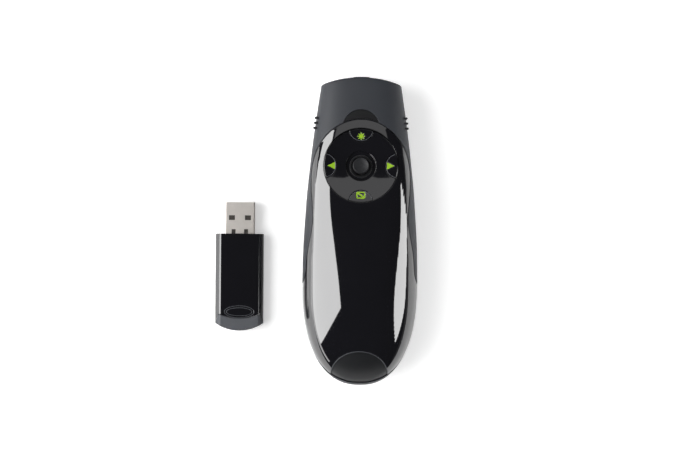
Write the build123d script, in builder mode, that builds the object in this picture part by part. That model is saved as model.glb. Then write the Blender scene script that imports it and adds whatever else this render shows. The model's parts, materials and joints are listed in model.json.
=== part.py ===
"""Wireless presentation clicker with its plug-in receiver, as an assembly of separate pieces.

Millimetres. The origin is on the table plane under the clicker's middle, +Y points to the nose,
+X to the right hand side and +Z up. The receiver stands by itself to the left.
"""

import os
from math import atan, degrees, hypot, pi, sin, sqrt

from build123d import *

os.makedirs("parts", exist_ok=True)

# ---- overall form of the clicker ----
NOSE_Y = 61.0
TAIL_Y = -61.1
NOSE_ARC_RADIUS = 42.6
NOSE_EDGE_RADIUS = 0.9
WIDEST_Y = -21.5
HALF_WIDTH = 22.9
NOSE_HALF_WIDTH = 15.4
NOSE_TAPER = 0.16
CROWN_Y = -5.0
CROWN_Z = 28.0
NOSE_TOP_Z = 22.0
NOSE_DROP = 0.12
BELT_Z = 12.0
KEEL_DEPTH = 0.8
BOTTOM_TAIL_Y = -25.0
BOTTOM_RISE_Y = 30.0
NOSE_BOTTOM_Z = 7.0
NOSE_RISE = 0.35
PLAN_FULLNESS = 2.3
SIDE_FULLNESS = 2.4
KEEL_FULLNESS = 2.6
TAIL_CROWN = 0.66
NOSE_CROWN = 0.84
UNDER_CROWN = 0.71
CROWN_BLEND_FROM_Y = -30.0
CROWN_BLEND_TO_Y = 20.0
FRONT_STATIONS = 8
REAR_STATIONS = 9
TAIL_CLOSING = 0.985
LOFT_OVERRUN = 4.0

# ---- walls and general clearances ----
WALL = 2.0
COVER_THICK = 1.6
DECK_THICK = 1.4
SEAM = 0.2
SEAT_GAP = 0.3
FIT_GAP = 0.05
CUT = 40.0

# ---- gloss cover, its tail inlay and the status window ----
COVER_TOP_Y = 44.2
COVER_SHOULDER_Y = 34.5
COVER_SHOULDER_HALF = 16.2
COVER_HEAD_Y = 17.0
COVER_HEAD_HALF = 19.5
COVER_WAIST_Y = 3.0
COVER_WAIST_HALF = 18.9
COVER_HIP_Y = -10.5
COVER_HIP_HALF = 21.1
COVER_OUTSIDE = 0.6
COVER_RIM = 1.2
SHELF_RISE = 1.0
INLAY_Y = -56.8
INLAY_HALF_WIDTH = 11.2
INLAY_REACH = 9.3
INLAY_SINK = 0.3
WINDOW_Y = 40.9
WINDOW_RADIUS = 7.1
WINDOW_SINK = 0.2
LIGHT_PIPE_RADIUS = 0.9

# ---- control disc, its buttons and the joystick, measured along the tilted control plane ----
DISC_Y = 25.9
DISC_RADIUS = 14.6
DISC_SINK = 1.6
DISC_THICK = 3.4
DISH_DEPTH = 0.9
LEDGE_THICK = 1.2
SEAT_WALL = 1.4
BUTTON_RADIUS = 4.8
BUTTON_GAP = 0.2
BUTTON_PROUD = 0.45
BUTTON_TRAVEL = 0.4
FLANGE_LIP = 0.6
FLANGE_THICK = 0.6
FLANGE_TOP_DEPTH = 2.3
BUTTON_STEM_RADIUS = 1.6
STEM_FROM_RIM = 2.6
ICON_THICK = 0.25
SUN_RADIUS = 0.8
SUN_REACH = 1.25
SUN_RAYS = 8
SUN_RAY_WIDTH = 0.36
ARROW_LENGTH = 2.9
ARROW_HEIGHT = 2.9
SCREEN_WIDTH = 3.6
SCREEN_HEIGHT = 2.8
SCREEN_BORDER = 0.5
SCREEN_CORNER = 0.7
SCREEN_SLASH = 0.6
ICON_FROM_RIM = 2.9
DIMPLE_RADIUS = 6.0
DIMPLE_DEPTH = 0.8
RING_OUTER_RADIUS = 4.5
RING_INNER_RADIUS = 3.9
CAP_RADIUS = 3.2
CAP_BOTTOM = -0.5
CAP_TOP = 1.6
CAP_DISH = 0.5
STICK_TRAVEL = 0.3
PIVOT_DEPTH = 5.0
GIMBAL_RADIUS = 4.3
GIMBAL_THICK = 1.2
GIMBAL_BORE = 2.7
BALL_RADIUS = 2.3
STEM_RADIUS = 1.0
PIN_RADIUS = 0.5
EAR_THICK = 1.0
EAR_WIDTH = 2.6
EAR_GAP = 0.4
DOME_RADIUS = 1.2
DOME_HEIGHT = 0.3
STEM_REACH = 1.8

# ---- control board ----
BOARD_DEPTH = 7.8
BOARD_THICK = 1.0
BOARD_SIDE_MARGIN = 0.1
BOARD_END_MARGIN = 2.6
POST_RADIUS = 1.3
POST_COUNT = 4
SWITCH_SIZE = 3.6
SWITCH_HEIGHT = 1.5
SWITCH_WELL_RADIUS = 1.0
SWITCH_WELL_DEPTH = 1.1
PLUNGER_RADIUS = 0.8
PLUNGER_REACH = 0.55
STEM_CLEAR = 0.5
CONTROLLER_SIZE = 5.0
CONTROLLER_GAP = 0.55
CHIP_HEIGHT = 1.0

# ---- laser ----
LASER_Z = 16.2
BARREL_RADIUS = 3.6
BARREL_LENGTH = 13.0
BARREL_BORE = 2.4
BEZEL_RADIUS = 3.2
BEZEL_BORE = 1.9
BEZEL_PROUD = 0.25
LENS_RADIUS = 2.3
LENS_THICK = 0.9
SADDLE_WIDTH = 10.0
SADDLE_THICK = 1.6
SADDLE_INSET = 2.2
DRIVER_THICK = 1.0
DRIVER_WIDTH = 8.0
DRIVER_HEIGHT = 7.4

# ---- batteries, tray and door ----
CELL_RADIUS = 5.25
CELL_LENGTH = 43.5
CELL_NIPPLE_RADIUS = 1.9
CELL_NIPPLE = 1.0
CELL_PITCH = 11.4
CELL_Z = 8.0
TRAY_LENGTH = 48.5
TRAY_WALL = 1.2
TRAY_HALF_WIDTH = 11.5
TRAY_TOP_Z = 13.4
CONTACT_THICK = 0.4
CONTACT_SIZE = 8.0
SPRING_WIRE = 0.25
SPRING_RADIUS = 2.2
SPRING_TURNS = 3
DOOR_HALF_WIDTH = 12.0
DOOR_MARGIN = 1.6
DOOR_TAB_ROOM = 3.3
DOOR_CORNER = 1.5
DOOR_GAP = 0.3
DOOR_LIFT = 0.3
TAB_THICK = 0.8
TAB_WIDTH = 3.0
TAB_REACH = 1.2
TAB_PITCH = 15.0
CATCH_WIDTH = 5.0
CATCH_HEIGHT = 0.5
GROOVE_COUNT = 4
GROOVE_WIDTH = 0.7
GROOVE_PITCH = 1.6
GROOVE_LENGTH = 12.0
GROOVE_DEPTH = 0.4

# ---- power switch under the nose ----
SWITCH_Y = 50.5
KNOB_LENGTH = 5.0
KNOB_WIDTH = 2.8
KNOB_TRAVEL = 2.4
KNOB_SINK = 0.3
KNOB_NECK = 1.6
NECK_REACH = 0.9
POWER_BODY_LENGTH = 11.0
POWER_BODY_WIDTH = 5.0
POWER_BODY_HEIGHT = 3.0

# ---- rubber grip ribs on the flanks ----
GRIP_Y = 42.9
GRIP_COUNT = 3
GRIP_PITCH = 2.0
GRIP_WIDTH = 0.8
GRIP_HEIGHT = 5.5
GRIP_PROUD = 0.2
GRIP_SEAT = 0.5
GRIP_BOTTOM_RISE = 0.6

# ---- screws ----
SCREW_SHANK_RADIUS = 0.95
SCREW_HEAD_RADIUS = 1.9
SCREW_HEAD_HEIGHT = 1.5
SCREW_SLOT = 0.5
BOSS_RADIUS = 2.9
SCREW_BITE = 5.0
HEAD_FLOOR = 2.2
REAR_SCREW_X = 15.9
REAR_SCREW_Y = -32.0
FRONT_SCREW_X = 10.6
FRONT_SCREW_Y = 52.0

# ---- receiver: it lies flat to the left of the clicker ----
RECEIVER_X = -48.1
RECEIVER_END_Y = -40.0
RECEIVER_WIDTH = 19.3
RECEIVER_TOP_WIDTH = 15.6
RECEIVER_THICK = 8.0
RECEIVER_BEVEL_DROP = 2.4
RECEIVER_EDGE_RADIUS = 1.0
RECEIVER_WALL = 1.2
RECEIVER_BODY_FRONT_Y = -1.3
CAP_LINE_Y = -35.1
CAP_LINE_SAGITTA = 1.8
CAP_LINE_HALF = 8.3
CAP_SIDE_DROP = 3.6
CAP_END_SAGITTA = 3.0
THUMB_OVAL_Y = -32.5
THUMB_OVAL_HALF_LENGTH = 5.9
THUMB_OVAL_HALF_WIDTH = 2.4
THUMB_OVAL_DEPTH = 0.35
THUMB_RING_WIDTH = 0.8
PLUG_WIDTH = 12.0
PLUG_HEIGHT = 4.5
PLUG_LENGTH = 12.6
PLUG_ROOT = 4.0
PLUG_SHEET = 0.35
PLUG_CORNER = 0.5
PLUG_WINDOW_WIDTH = 2.4
PLUG_WINDOW_LENGTH = 1.9
PLUG_WINDOW_PITCH = 6.4
PLUG_WINDOW_FROM_TIP = 6.2
PLUG_SLOT_WIDTH = 1.6
PLUG_SLOT_LENGTH = 2.6
PLUG_SLOT_PITCH = 5.0
PLUG_SLOT_FROM_TIP = 12.1
TONGUE_THICK = 1.8
TONGUE_SHORT = 0.8
PIN_PAD_WIDTH = 1.2
PIN_PAD_THICK = 0.15
PIN_PAD_LENGTH = 7.5
PIN_PADS = 4
PIN_PAD_PITCH = 2.5
RECEIVER_BOARD_THICK = 0.8
RECEIVER_BOARD_SHORT = 3.0
RECEIVER_CHIP_SIZE = 5.0

# ---- receiver bay in the clicker's tail ----
BAY_CLEAR = 0.4
BAY_FLOOR_Z = 2.4
CRADLE_WALL = 1.1
CRADLE_POST_RADIUS = 1.5
CRADLE_POST_X = 8.5
LATCH_LENGTH = 8.0
LATCH_WIDTH = 4.0

# ---- radio board ----
RADIO_BOARD_REAR_Y = -47.0
RADIO_BOARD_LENGTH = 35.0
RADIO_BOARD_WIDTH = 24.0
RADIO_BOARD_Z = 15.2
RADIO_CHIP_SIZE = 6.0
CRYSTAL_LENGTH = 3.2
CRYSTAL_WIDTH = 2.5
ANTENNA_STRIP = 0.8
ANTENNA_SPAN = 18.0
ANTENNA_TURNS = 5
ANTENNA_DEPTH = 4.0
ANTENNA_THICK = 0.15
RIBBON_WIDTH = 8.0
RIBBON_THICK = 0.3
RIBBON_LAP = 2.0


# ======== the overall form ========
def ease(start, end, start_slope, end_slope, length, t):
    """A cubic from start to end with the given slopes at its ends."""
    flat = start * (2 * t**3 - 3 * t**2 + 1) + end * (3 * t**2 - 2 * t**3)
    lean = start_slope * (t**3 - 2 * t**2 + t) + end_slope * (t**3 - t**2)
    return flat + lean * length


def rounded(t, fullness):
    """A rounded end that starts at 1 and falls to 0 at t = 1."""
    return max(0.0, 1.0 - t**fullness) ** (1.0 / fullness)


def half_width(y, inset=0.0, tail_inset=0.0):
    if y < WIDEST_Y:
        t = (WIDEST_Y - y) / (WIDEST_Y - TAIL_Y - tail_inset)
        return (HALF_WIDTH - inset) * rounded(t, PLAN_FULLNESS)
    length = NOSE_Y - WIDEST_Y
    share = (y - WIDEST_Y) / length
    return ease(HALF_WIDTH, NOSE_HALF_WIDTH, 0, -NOSE_TAPER, length, share) - inset


def top_height(y, inset=0.0, tail_inset=0.0):
    if y < CROWN_Y:
        t = (CROWN_Y - y) / (CROWN_Y - TAIL_Y - tail_inset)
        return BELT_Z + (CROWN_Z - BELT_Z - inset) * rounded(t, SIDE_FULLNESS)
    length = NOSE_Y - CROWN_Y
    share = (y - CROWN_Y) / length
    return ease(CROWN_Z, NOSE_TOP_Z, 0, -NOSE_DROP, length, share) - inset


def bottom_height(y, inset=0.0, tail_inset=0.0):
    if y < BOTTOM_TAIL_Y:
        t = (BOTTOM_TAIL_Y - y) / (BOTTOM_TAIL_Y - TAIL_Y - tail_inset)
        return BELT_Z - (BELT_Z + KEEL_DEPTH - inset) * rounded(t, KEEL_FULLNESS)
    if y < BOTTOM_RISE_Y:
        return inset - KEEL_DEPTH
    length = NOSE_Y - BOTTOM_RISE_Y
    share = (y - BOTTOM_RISE_Y) / length
    return ease(-KEEL_DEPTH, NOSE_BOTTOM_Z, 0, NOSE_RISE, length, share) + inset


def under_height(x, y, inset=0.0):
    """Height of the underside at a place in plan, found along the cross-section's curve."""
    half = half_width(y, inset)
    low = bottom_height(y, inset)
    near, far = 0.0, 1.0
    for _ in range(40):
        t = (near + far) / 2
        back = 1 - t
        across = half * (back**3 + 3 * back**2 * t + 3 * back * t**2 * UNDER_CROWN)
        if across > abs(x):
            near = t
        else:
            far = t
    share = 3 * (1 - t) ** 2 * t * UNDER_CROWN + 3 * (1 - t) * t**2 + t**3
    return BELT_Z - (BELT_Z - low) * share


def crown_handle(y):
    """How square the top of the cross-section is: the share of each side that its curve follows."""
    span = CROWN_BLEND_TO_Y - CROWN_BLEND_FROM_Y
    t = min(1.0, max(0.0, (y - CROWN_BLEND_FROM_Y) / span))
    return TAIL_CROWN + (NOSE_CROWN - TAIL_CROWN) * t * t * (3 - 2 * t)


def quarter(half, height, handle, side, way):
    """One quarter of a cross-section, from the belt line to the middle."""
    Bezier(
        (side * half, BELT_Z),
        (side * half, BELT_Z + way * handle * height),
        (side * handle * half, BELT_Z + way * height),
        (0, BELT_Z + way * height),
    )


def section(y, inset, tail_inset):
    half = half_width(y, inset, tail_inset)
    rise = top_height(y, inset, tail_inset) - BELT_Z
    drop = BELT_Z - bottom_height(y, inset, tail_inset)
    with BuildSketch(Plane.XZ.offset(-y)) as outline:
        with BuildLine():
            for side in (1, -1):
                quarter(half, rise, crown_handle(y), side, 1)
                quarter(half, drop, UNDER_CROWN, side, -1)
        make_face()
    return outline.sketch


def form(inset=0.0, tail_inset=None):
    """The clicker's whole outer form, or the same form shrunk by an inset."""
    tail_inset = inset if tail_inset is None else tail_inset
    tail = TAIL_Y + tail_inset
    front_step = (NOSE_Y + LOFT_OVERRUN - WIDEST_Y) / FRONT_STATIONS
    stations = [NOSE_Y + LOFT_OVERRUN - i * front_step for i in range(FRONT_STATIONS + 1)]
    for i in range(1, REAR_STATIONS + 1):
        turn = pi / 2 * TAIL_CLOSING * i / REAR_STATIONS
        stations.append(WIDEST_Y - (WIDEST_Y - tail) * sin(turn))
    sections = [section(y, inset, tail_inset) for y in stations]
    apex = NOSE_Y - inset
    corner = apex - NOSE_ARC_RADIUS + sqrt(NOSE_ARC_RADIUS**2 - HALF_WIDTH**2)
    with BuildPart() as hull:
        loft(sections=sections)
        with BuildSketch():
            with BuildLine():
                ThreePointArc((-HALF_WIDTH, corner), (0, apex), (HALF_WIDTH, corner))
                Polyline(
                    (HALF_WIDTH, corner),
                    (HALF_WIDTH + WALL, TAIL_Y - WALL),
                    (-HALF_WIDTH - WALL, TAIL_Y - WALL),
                    (-HALF_WIDTH, corner),
                )
            make_face()
        extrude(amount=CUT, mode=Mode.INTERSECT, both=True)
        if inset == 0:
            fillet(hull.faces().sort_by(Axis.Y)[-1].edges(), NOSE_EDGE_RADIUS)
    return hull.part


OUTER = form()
UNDER_COVER = form(COVER_THICK, COVER_THICK + COVER_RIM)
UNDER_DECK = form(COVER_THICK + DECK_THICK, COVER_THICK + COVER_RIM + DECK_THICK)
INSIDE = form(WALL)
TRAY_LIMIT = form(WALL + SEAT_GAP)

SHELF_Z = BELT_Z + SHELF_RISE
LAND_Z = 0.0


def above(height, keep=CUT):
    """A wide slab from a height upwards, to keep what lies above it."""
    with BuildPart() as slab:
        with BuildSketch(Plane.XY.offset(height)):
            Rectangle(4 * CUT, 5 * CUT)
        extrude(amount=keep)
    return slab.part


def cover_outline(margin):
    """The gloss cover's outline in plan, grown or shrunk by a margin."""
    tail = TAIL_Y + COVER_RIM - margin
    wide = HALF_WIDTH + COVER_OUTSIDE + margin
    rear = []
    for i in range(REAR_STATIONS + 1):
        share = sin(pi / 2 * i / REAR_STATIONS)
        rear.append((wide * rounded(share, PLAN_FULLNESS), WIDEST_Y - (WIDEST_Y - tail) * share))
    with BuildSketch() as plan:
        for side in (1, -1):
            with BuildLine():
                Spline(
                    (side * wide, WIDEST_Y),
                    (side * (COVER_HIP_HALF + margin), COVER_HIP_Y),
                    (side * (COVER_WAIST_HALF + margin), COVER_WAIST_Y),
                    (side * (COVER_HEAD_HALF + margin), COVER_HEAD_Y),
                    (side * (COVER_SHOULDER_HALF + margin), COVER_SHOULDER_Y + margin),
                    (0, COVER_TOP_Y + margin),
                    tangents=((side * -1.0, 1.0), (side * -1.0, 0.0)),
                )
                Spline(
                    *[(side * x, y) for x, y in rear],
                    tangents=((0.0, -1.0), (side * -1.0, 0.0)),
                )
                Line((0, tail), (0, COVER_TOP_Y + margin))
            make_face()
    return plan.sketch


def cover_prism(margin, base):
    with BuildPart() as prism:
        with BuildSketch(Plane.XY.offset(base)):
            add(cover_outline(margin))
        extrude(amount=CUT)
    return prism.part


def inlay_prism(margin):
    with BuildPart() as prism:
        with BuildSketch(Plane.XY.offset(SHELF_Z)):
            with Locations((0, INLAY_Y)):
                Ellipse(INLAY_HALF_WIDTH + margin, INLAY_REACH + margin)
                with Locations((0, -INLAY_REACH)):
                    Rectangle(2 * (INLAY_HALF_WIDTH + margin), 2 * INLAY_REACH)
        extrude(amount=CUT)
    return prism.part


def window_prism(margin):
    with BuildPart() as prism:
        with BuildSketch(Plane.XY.offset(BELT_Z)):
            with Locations((0, WINDOW_Y)):
                Circle(WINDOW_RADIUS + margin)
            add(cover_outline(1.5 * SEAM - margin), mode=Mode.SUBTRACT)
        extrude(amount=CUT)
    return prism.part


# ======== the control plane ========
slope_step = 0.5
control_slope = (top_height(DISC_Y + slope_step) - top_height(DISC_Y - slope_step)) / (2 * slope_step)
control_plane = Plane(
    origin=(0, DISC_Y, top_height(DISC_Y) - DISC_SINK),
    x_dir=(1, 0, 0),
    z_dir=(0, -control_slope, 1),
)
dish_sphere_radius = (DISC_RADIUS**2 + DISH_DEPTH**2) / (2 * DISH_DEPTH)
button_spots = {
    "laser": (0, 1),
    "previous": (-1, 0),
    "next": (1, 0),
    "screen": (0, -1),
}


def control_disc_solid(radius, low, high):
    """A round solid square to the control plane, between two heights over it."""
    with BuildPart() as drum:
        with BuildSketch(control_plane.offset(low)):
            Circle(radius)
        extrude(amount=high - low)
    return drum.part


def dish_ball(lift):
    """The ball whose underside is the dish, raised by a lift over the dish."""
    with BuildPart() as ball:
        with Locations(control_plane.offset(dish_sphere_radius - DISH_DEPTH + lift)):
            Sphere(dish_sphere_radius)
    return ball.part


def button_zone(spot, growth, rim_gap):
    """A button's lens-shaped outline on the control plane's own axes."""
    x, y = spot
    with BuildSketch() as zone:
        with Locations((x * DISC_RADIUS, y * DISC_RADIUS)):
            Circle(BUTTON_RADIUS + growth)
        Circle(DISC_RADIUS - rim_gap, mode=Mode.INTERSECT)
    return zone.sketch


def button_prism(spot, growth, rim_gap, low, high):
    with BuildPart() as prism:
        with BuildSketch(control_plane.offset(low)):
            add(button_zone(spot, growth, rim_gap))
        extrude(amount=high - low)
    return prism.part


button_stem_pitch = DISC_RADIUS - STEM_FROM_RIM
icon_pitch = DISC_RADIUS - ICON_FROM_RIM
switch_reach = button_stem_pitch + SWITCH_SIZE / 2
board_width = 2 * (switch_reach + BOARD_SIDE_MARGIN)
board_length = 2 * (switch_reach + BOARD_END_MARGIN)
controller_y = CONTROLLER_GAP + CONTROLLER_SIZE / 4 + SWITCH_SIZE / 2 - button_stem_pitch
LEDGE_TOP = -DISC_THICK
LEDGE_BOTTOM = LEDGE_TOP - LEDGE_THICK
FLANGE_TOP = -FLANGE_TOP_DEPTH
FLANGE_BOTTOM = FLANGE_TOP - FLANGE_THICK
BOARD_TOP = -BOARD_DEPTH
SWITCH_TOP = BOARD_TOP + SWITCH_HEIGHT
STEM_BOTTOM = SWITCH_TOP + STEM_CLEAR
BUTTON_HIGH = BUTTON_PROUD + DISH_DEPTH
LEDGE_HOLE_RADIUS = GIMBAL_RADIUS + EAR_GAP + EAR_THICK + SEAT_GAP + 1.0
SEAT_RADIUS = DISC_RADIUS + SEAM + SEAT_WALL


# ======== screws' places ========
screw_places = []
for place_x, place_y in ((REAR_SCREW_X, REAR_SCREW_Y), (FRONT_SCREW_X, FRONT_SCREW_Y)):
    seat_z = under_height(place_x, place_y) + HEAD_FLOOR
    screw_places += [(place_x, place_y, seat_z), (-place_x, place_y, seat_z)]


# ======== lower shell ========
bay_half_width = RECEIVER_WIDTH / 2 + BAY_CLEAR
bay_top_z = BAY_FLOOR_Z + RECEIVER_THICK + BAY_CLEAR
receiver_length = RECEIVER_BODY_FRONT_Y + PLUG_LENGTH - RECEIVER_END_Y
bay_front_y = TAIL_Y + receiver_length + BAY_CLEAR
cradle_rear_y = TAIL_Y + WALL + SEAT_GAP
cradle_front_y = bay_front_y + CRADLE_WALL
tray_rear_y = cradle_front_y + SEAT_GAP + TRAY_WALL
tray_front_y = tray_rear_y + TRAY_LENGTH
door_rear_y = tray_rear_y + DOOR_MARGIN
door_front_y = tray_front_y + TRAY_WALL + DOOR_TAB_ROOM
door_mid_y = (door_rear_y + door_front_y) / 2
door_length = door_front_y - door_rear_y
under_slope = (bottom_height(SWITCH_Y + slope_step) - bottom_height(SWITCH_Y - slope_step)) / (
    2 * slope_step
)
switch_plane = Plane(
    origin=(0, SWITCH_Y, bottom_height(SWITCH_Y)),
    x_dir=(1, 0, 0),
    z_dir=(0, -under_slope, 1),
)
slot_length = KNOB_LENGTH + KNOB_TRAVEL + 2 * DOOR_GAP


def door_prism(margin, base, height):
    with BuildPart() as prism:
        with BuildSketch(Plane.XY.offset(base)):
            with Locations((0, door_mid_y)):
                RectangleRounded(
                    2 * (DOOR_HALF_WIDTH + margin), door_length + 2 * margin, DOOR_CORNER + margin
                )
        extrude(amount=height)
    return prism.part


with BuildPart() as lower_limit:
    add(OUTER)
    add(above(BELT_Z - SEAM / 2), mode=Mode.SUBTRACT)
LOWER_LIMIT = lower_limit.part


def boss_solid(x, y, base, limit):
    """A screw boss from a height up, kept inside a form."""
    with BuildPart() as boss:
        with BuildSketch(Plane.XY.offset(base)):
            with Locations((x, y)):
                Circle(BOSS_RADIUS)
        extrude(amount=CUT)
        add(limit, mode=Mode.INTERSECT)
    return boss.part


with BuildPart() as lower_shell:
    add(OUTER)
    add(above(BELT_Z - SEAM / 2), mode=Mode.SUBTRACT)
    add(above(LAND_Z - CUT, CUT), mode=Mode.SUBTRACT)
    add(INSIDE, mode=Mode.SUBTRACT)
    for x, y, seat_z in screw_places:
        add(boss_solid(x, y, LAND_Z, LOWER_LIMIT))
        with BuildSketch(Plane.XY.offset(LAND_Z - WALL)):
            with Locations((x, y)):
                Circle(SCREW_HEAD_RADIUS + SEAM)
        extrude(amount=seat_z + WALL, mode=Mode.SUBTRACT)
        with BuildSketch(Plane.XY.offset(LAND_Z)):
            with Locations((x, y)):
                Circle(SCREW_SHANK_RADIUS + SEAM)
        extrude(amount=BELT_Z, mode=Mode.SUBTRACT)
    add(door_prism(DOOR_GAP, -WALL, BELT_Z - WALL), mode=Mode.SUBTRACT)
    with BuildSketch(Plane.XZ.offset(-TAIL_Y + WALL)):
        with Locations((0, (BAY_FLOOR_Z + BELT_Z) / 2)):
            Rectangle(2 * bay_half_width, BELT_Z - BAY_FLOOR_Z)
    extrude(amount=-(receiver_length + WALL), mode=Mode.SUBTRACT)
    with BuildSketch(switch_plane.offset(-WALL)):
        Rectangle(slot_length, KNOB_WIDTH + 2 * DOOR_GAP)
    extrude(amount=3 * WALL, mode=Mode.SUBTRACT)
lower_shell.part.label = "lower_shell"
export_step(lower_shell.part, "parts/lower_shell.step")


# ======== upper shell: nose, flanks and the deck under the cover ========
barrel_front_y = NOSE_Y - COVER_THICK - DECK_THICK - SEAT_GAP
barrel_rear_y = barrel_front_y - BARREL_LENGTH
light_pipe_y = (COVER_TOP_Y + WINDOW_Y + WINDOW_RADIUS) / 2
grip_places = [GRIP_Y + (i - (GRIP_COUNT - 1) / 2) * GRIP_PITCH for i in range(GRIP_COUNT)]


def grip_bars(side, growth):
    """The rubber ribs of one flank, grown by a clearance where they are used as a cutter."""
    with BuildPart() as bars:
        for y in grip_places:
            edge = half_width(y)
            with BuildSketch(Plane.XY.offset(SHELF_Z + GRIP_BOTTOM_RISE - growth)):
                with Locations((side * (edge + (GRIP_PROUD - GRIP_SEAT) / 2), y)):
                    SlotOverall(GRIP_PROUD + GRIP_SEAT + GRIP_WIDTH, GRIP_WIDTH + 2 * growth)
            extrude(amount=GRIP_HEIGHT + 2 * growth)
    return bars.part


with BuildPart() as disc_seat:
    add(control_disc_solid(SEAT_RADIUS, LEDGE_BOTTOM, DISC_THICK))
    add(UNDER_COVER, mode=Mode.INTERSECT)

with BuildPart() as saddles:
    with BuildSketch(Plane.XY.offset(BELT_Z + SEAT_GAP)):
        for y in (barrel_front_y - SADDLE_INSET, barrel_rear_y + SADDLE_INSET):
            with Locations((0, y)):
                Rectangle(SADDLE_WIDTH, SADDLE_THICK)
    extrude(amount=CUT)
    add(UNDER_COVER, mode=Mode.INTERSECT)

with BuildPart() as upper_shell:
    add(OUTER)
    add(cover_prism(SEAM / 2, SHELF_Z), mode=Mode.SUBTRACT)
    add(window_prism(SEAM), mode=Mode.SUBTRACT)
    add(UNDER_COVER)
    add(UNDER_DECK, mode=Mode.SUBTRACT)
    add(disc_seat.part)
    add(saddles.part)
    for x, y, seat_z in screw_places:
        add(boss_solid(x, y, BELT_Z, UNDER_COVER))
    add(above(BELT_Z - CUT, CUT), mode=Mode.SUBTRACT)
    add(control_disc_solid(DISC_RADIUS + SEAM, LEDGE_TOP, CUT), mode=Mode.SUBTRACT)
    add(control_disc_solid(LEDGE_HOLE_RADIUS, LEDGE_BOTTOM - WALL, WALL), mode=Mode.SUBTRACT)
    with BuildSketch(control_plane.offset(LEDGE_BOTTOM - WALL)):
        for x, y in button_spots.values():
            with Locations((x * button_stem_pitch, y * button_stem_pitch)):
                Circle(BUTTON_STEM_RADIUS + BUTTON_GAP)
    extrude(amount=2 * WALL, mode=Mode.SUBTRACT)
    with BuildSketch(control_plane.offset(BOARD_TOP)):
        with PolarLocations(DISC_RADIUS, POST_COUNT, 180 / POST_COUNT):
            Circle(POST_RADIUS)
    extrude(amount=LEDGE_BOTTOM - BOARD_TOP)
    with BuildSketch(Plane.XZ.offset(-barrel_rear_y + SEAM)):
        with Locations((0, LASER_Z)):
            Circle(BARREL_RADIUS + FIT_GAP)
    extrude(amount=-(BARREL_LENGTH + SEAM), mode=Mode.SUBTRACT)
    with BuildSketch(Plane.XZ.offset(-NOSE_Y - WALL)):
        with Locations((0, LASER_Z)):
            Circle(BEZEL_RADIUS + FIT_GAP)
    extrude(amount=COVER_THICK + DECK_THICK + 2 * WALL, mode=Mode.SUBTRACT)
    with BuildSketch(Plane.XY.offset(LASER_Z + BARREL_RADIUS)):
        with Locations((0, light_pipe_y)):
            Circle(LIGHT_PIPE_RADIUS + FIT_GAP)
    extrude(amount=CUT, mode=Mode.SUBTRACT)
    for x, y, seat_z in screw_places:
        with BuildSketch(Plane.XY.offset(BELT_Z - WALL)):
            with Locations((x, y)):
                Circle(SCREW_SHANK_RADIUS + FIT_GAP)
        extrude(amount=WALL + SCREW_BITE + SEAT_GAP, mode=Mode.SUBTRACT)
    for side in (1, -1):
        add(grip_bars(side, 0.0), mode=Mode.SUBTRACT)
upper_shell.part.label = "upper_shell"
export_step(upper_shell.part, "parts/upper_shell.step")


# ======== gloss cover, tail inlay, status window ========
with BuildPart() as top_cover:
    add(OUTER)
    add(cover_prism(-SEAM / 2, SHELF_Z + SEAM / 2), mode=Mode.INTERSECT)
    add(UNDER_COVER, mode=Mode.SUBTRACT)
    add(inlay_prism(SEAM / 2), mode=Mode.SUBTRACT)
    add(control_disc_solid(DISC_RADIUS + SEAM, LEDGE_TOP, CUT), mode=Mode.SUBTRACT)
top_cover.part.label = "top_cover"
export_step(top_cover.part, "parts/top_cover.step")

with BuildPart() as tail_inlay:
    add(form(INLAY_SINK))
    add(cover_prism(-SEAM / 2, SHELF_Z + SEAM / 2), mode=Mode.INTERSECT)
    add(UNDER_COVER, mode=Mode.SUBTRACT)
    add(inlay_prism(-SEAM / 2), mode=Mode.INTERSECT)
tail_inlay.part.label = "tail_inlay"
export_step(tail_inlay.part, "parts/tail_inlay.step")

with BuildPart() as status_window:
    add(form(WINDOW_SINK))
    add(window_prism(0.0), mode=Mode.INTERSECT)
    add(UNDER_COVER, mode=Mode.SUBTRACT)
    add(above(BELT_Z - CUT, CUT), mode=Mode.SUBTRACT)
status_window.part.label = "status_window"
export_step(status_window.part, "parts/status_window.step")

light_pipe_bottom_z = LASER_Z + BARREL_RADIUS + SEAT_GAP
with BuildPart() as light_pipe:
    with BuildSketch(Plane.XY.offset(light_pipe_bottom_z)):
        with Locations((0, light_pipe_y)):
            Circle(LIGHT_PIPE_RADIUS)
    extrude(amount=CUT)
    add(UNDER_COVER, mode=Mode.INTERSECT)
light_pipe.part.label = "light_pipe"
export_step(light_pipe.part, "parts/light_pipe.step")


# ======== grip ribs ========
for side, name in ((-1, "left_grip"), (1, "right_grip")):
    ribs = grip_bars(side, 0.0)
    ribs.label = name
    export_step(ribs, f"parts/{name}.step")


# ======== control disc and the joystick's ring ========
with BuildPart() as control_dish:
    add(control_disc_solid(DISC_RADIUS, LEDGE_TOP, 0))
    add(dish_ball(0.0), mode=Mode.SUBTRACT)
    add(control_disc_solid(DIMPLE_RADIUS, -DISH_DEPTH - DIMPLE_DEPTH, 0), mode=Mode.SUBTRACT)
    add(control_disc_solid(RING_OUTER_RADIUS + FIT_GAP, LEDGE_TOP - 1, 0), mode=Mode.SUBTRACT)
    for spot in button_spots.values():
        add(button_prism(spot, BUTTON_GAP, -1, LEDGE_TOP - 1, 1), mode=Mode.SUBTRACT)
        pocket_top = FLANGE_TOP + BUTTON_GAP
        pocket = button_prism(spot, FLANGE_LIP + BUTTON_GAP, -1, LEDGE_TOP - 1, pocket_top)
        add(pocket, mode=Mode.SUBTRACT)
control_dish.part.label = "control_dish"
export_step(control_dish.part, "parts/control_dish.step")

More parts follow.
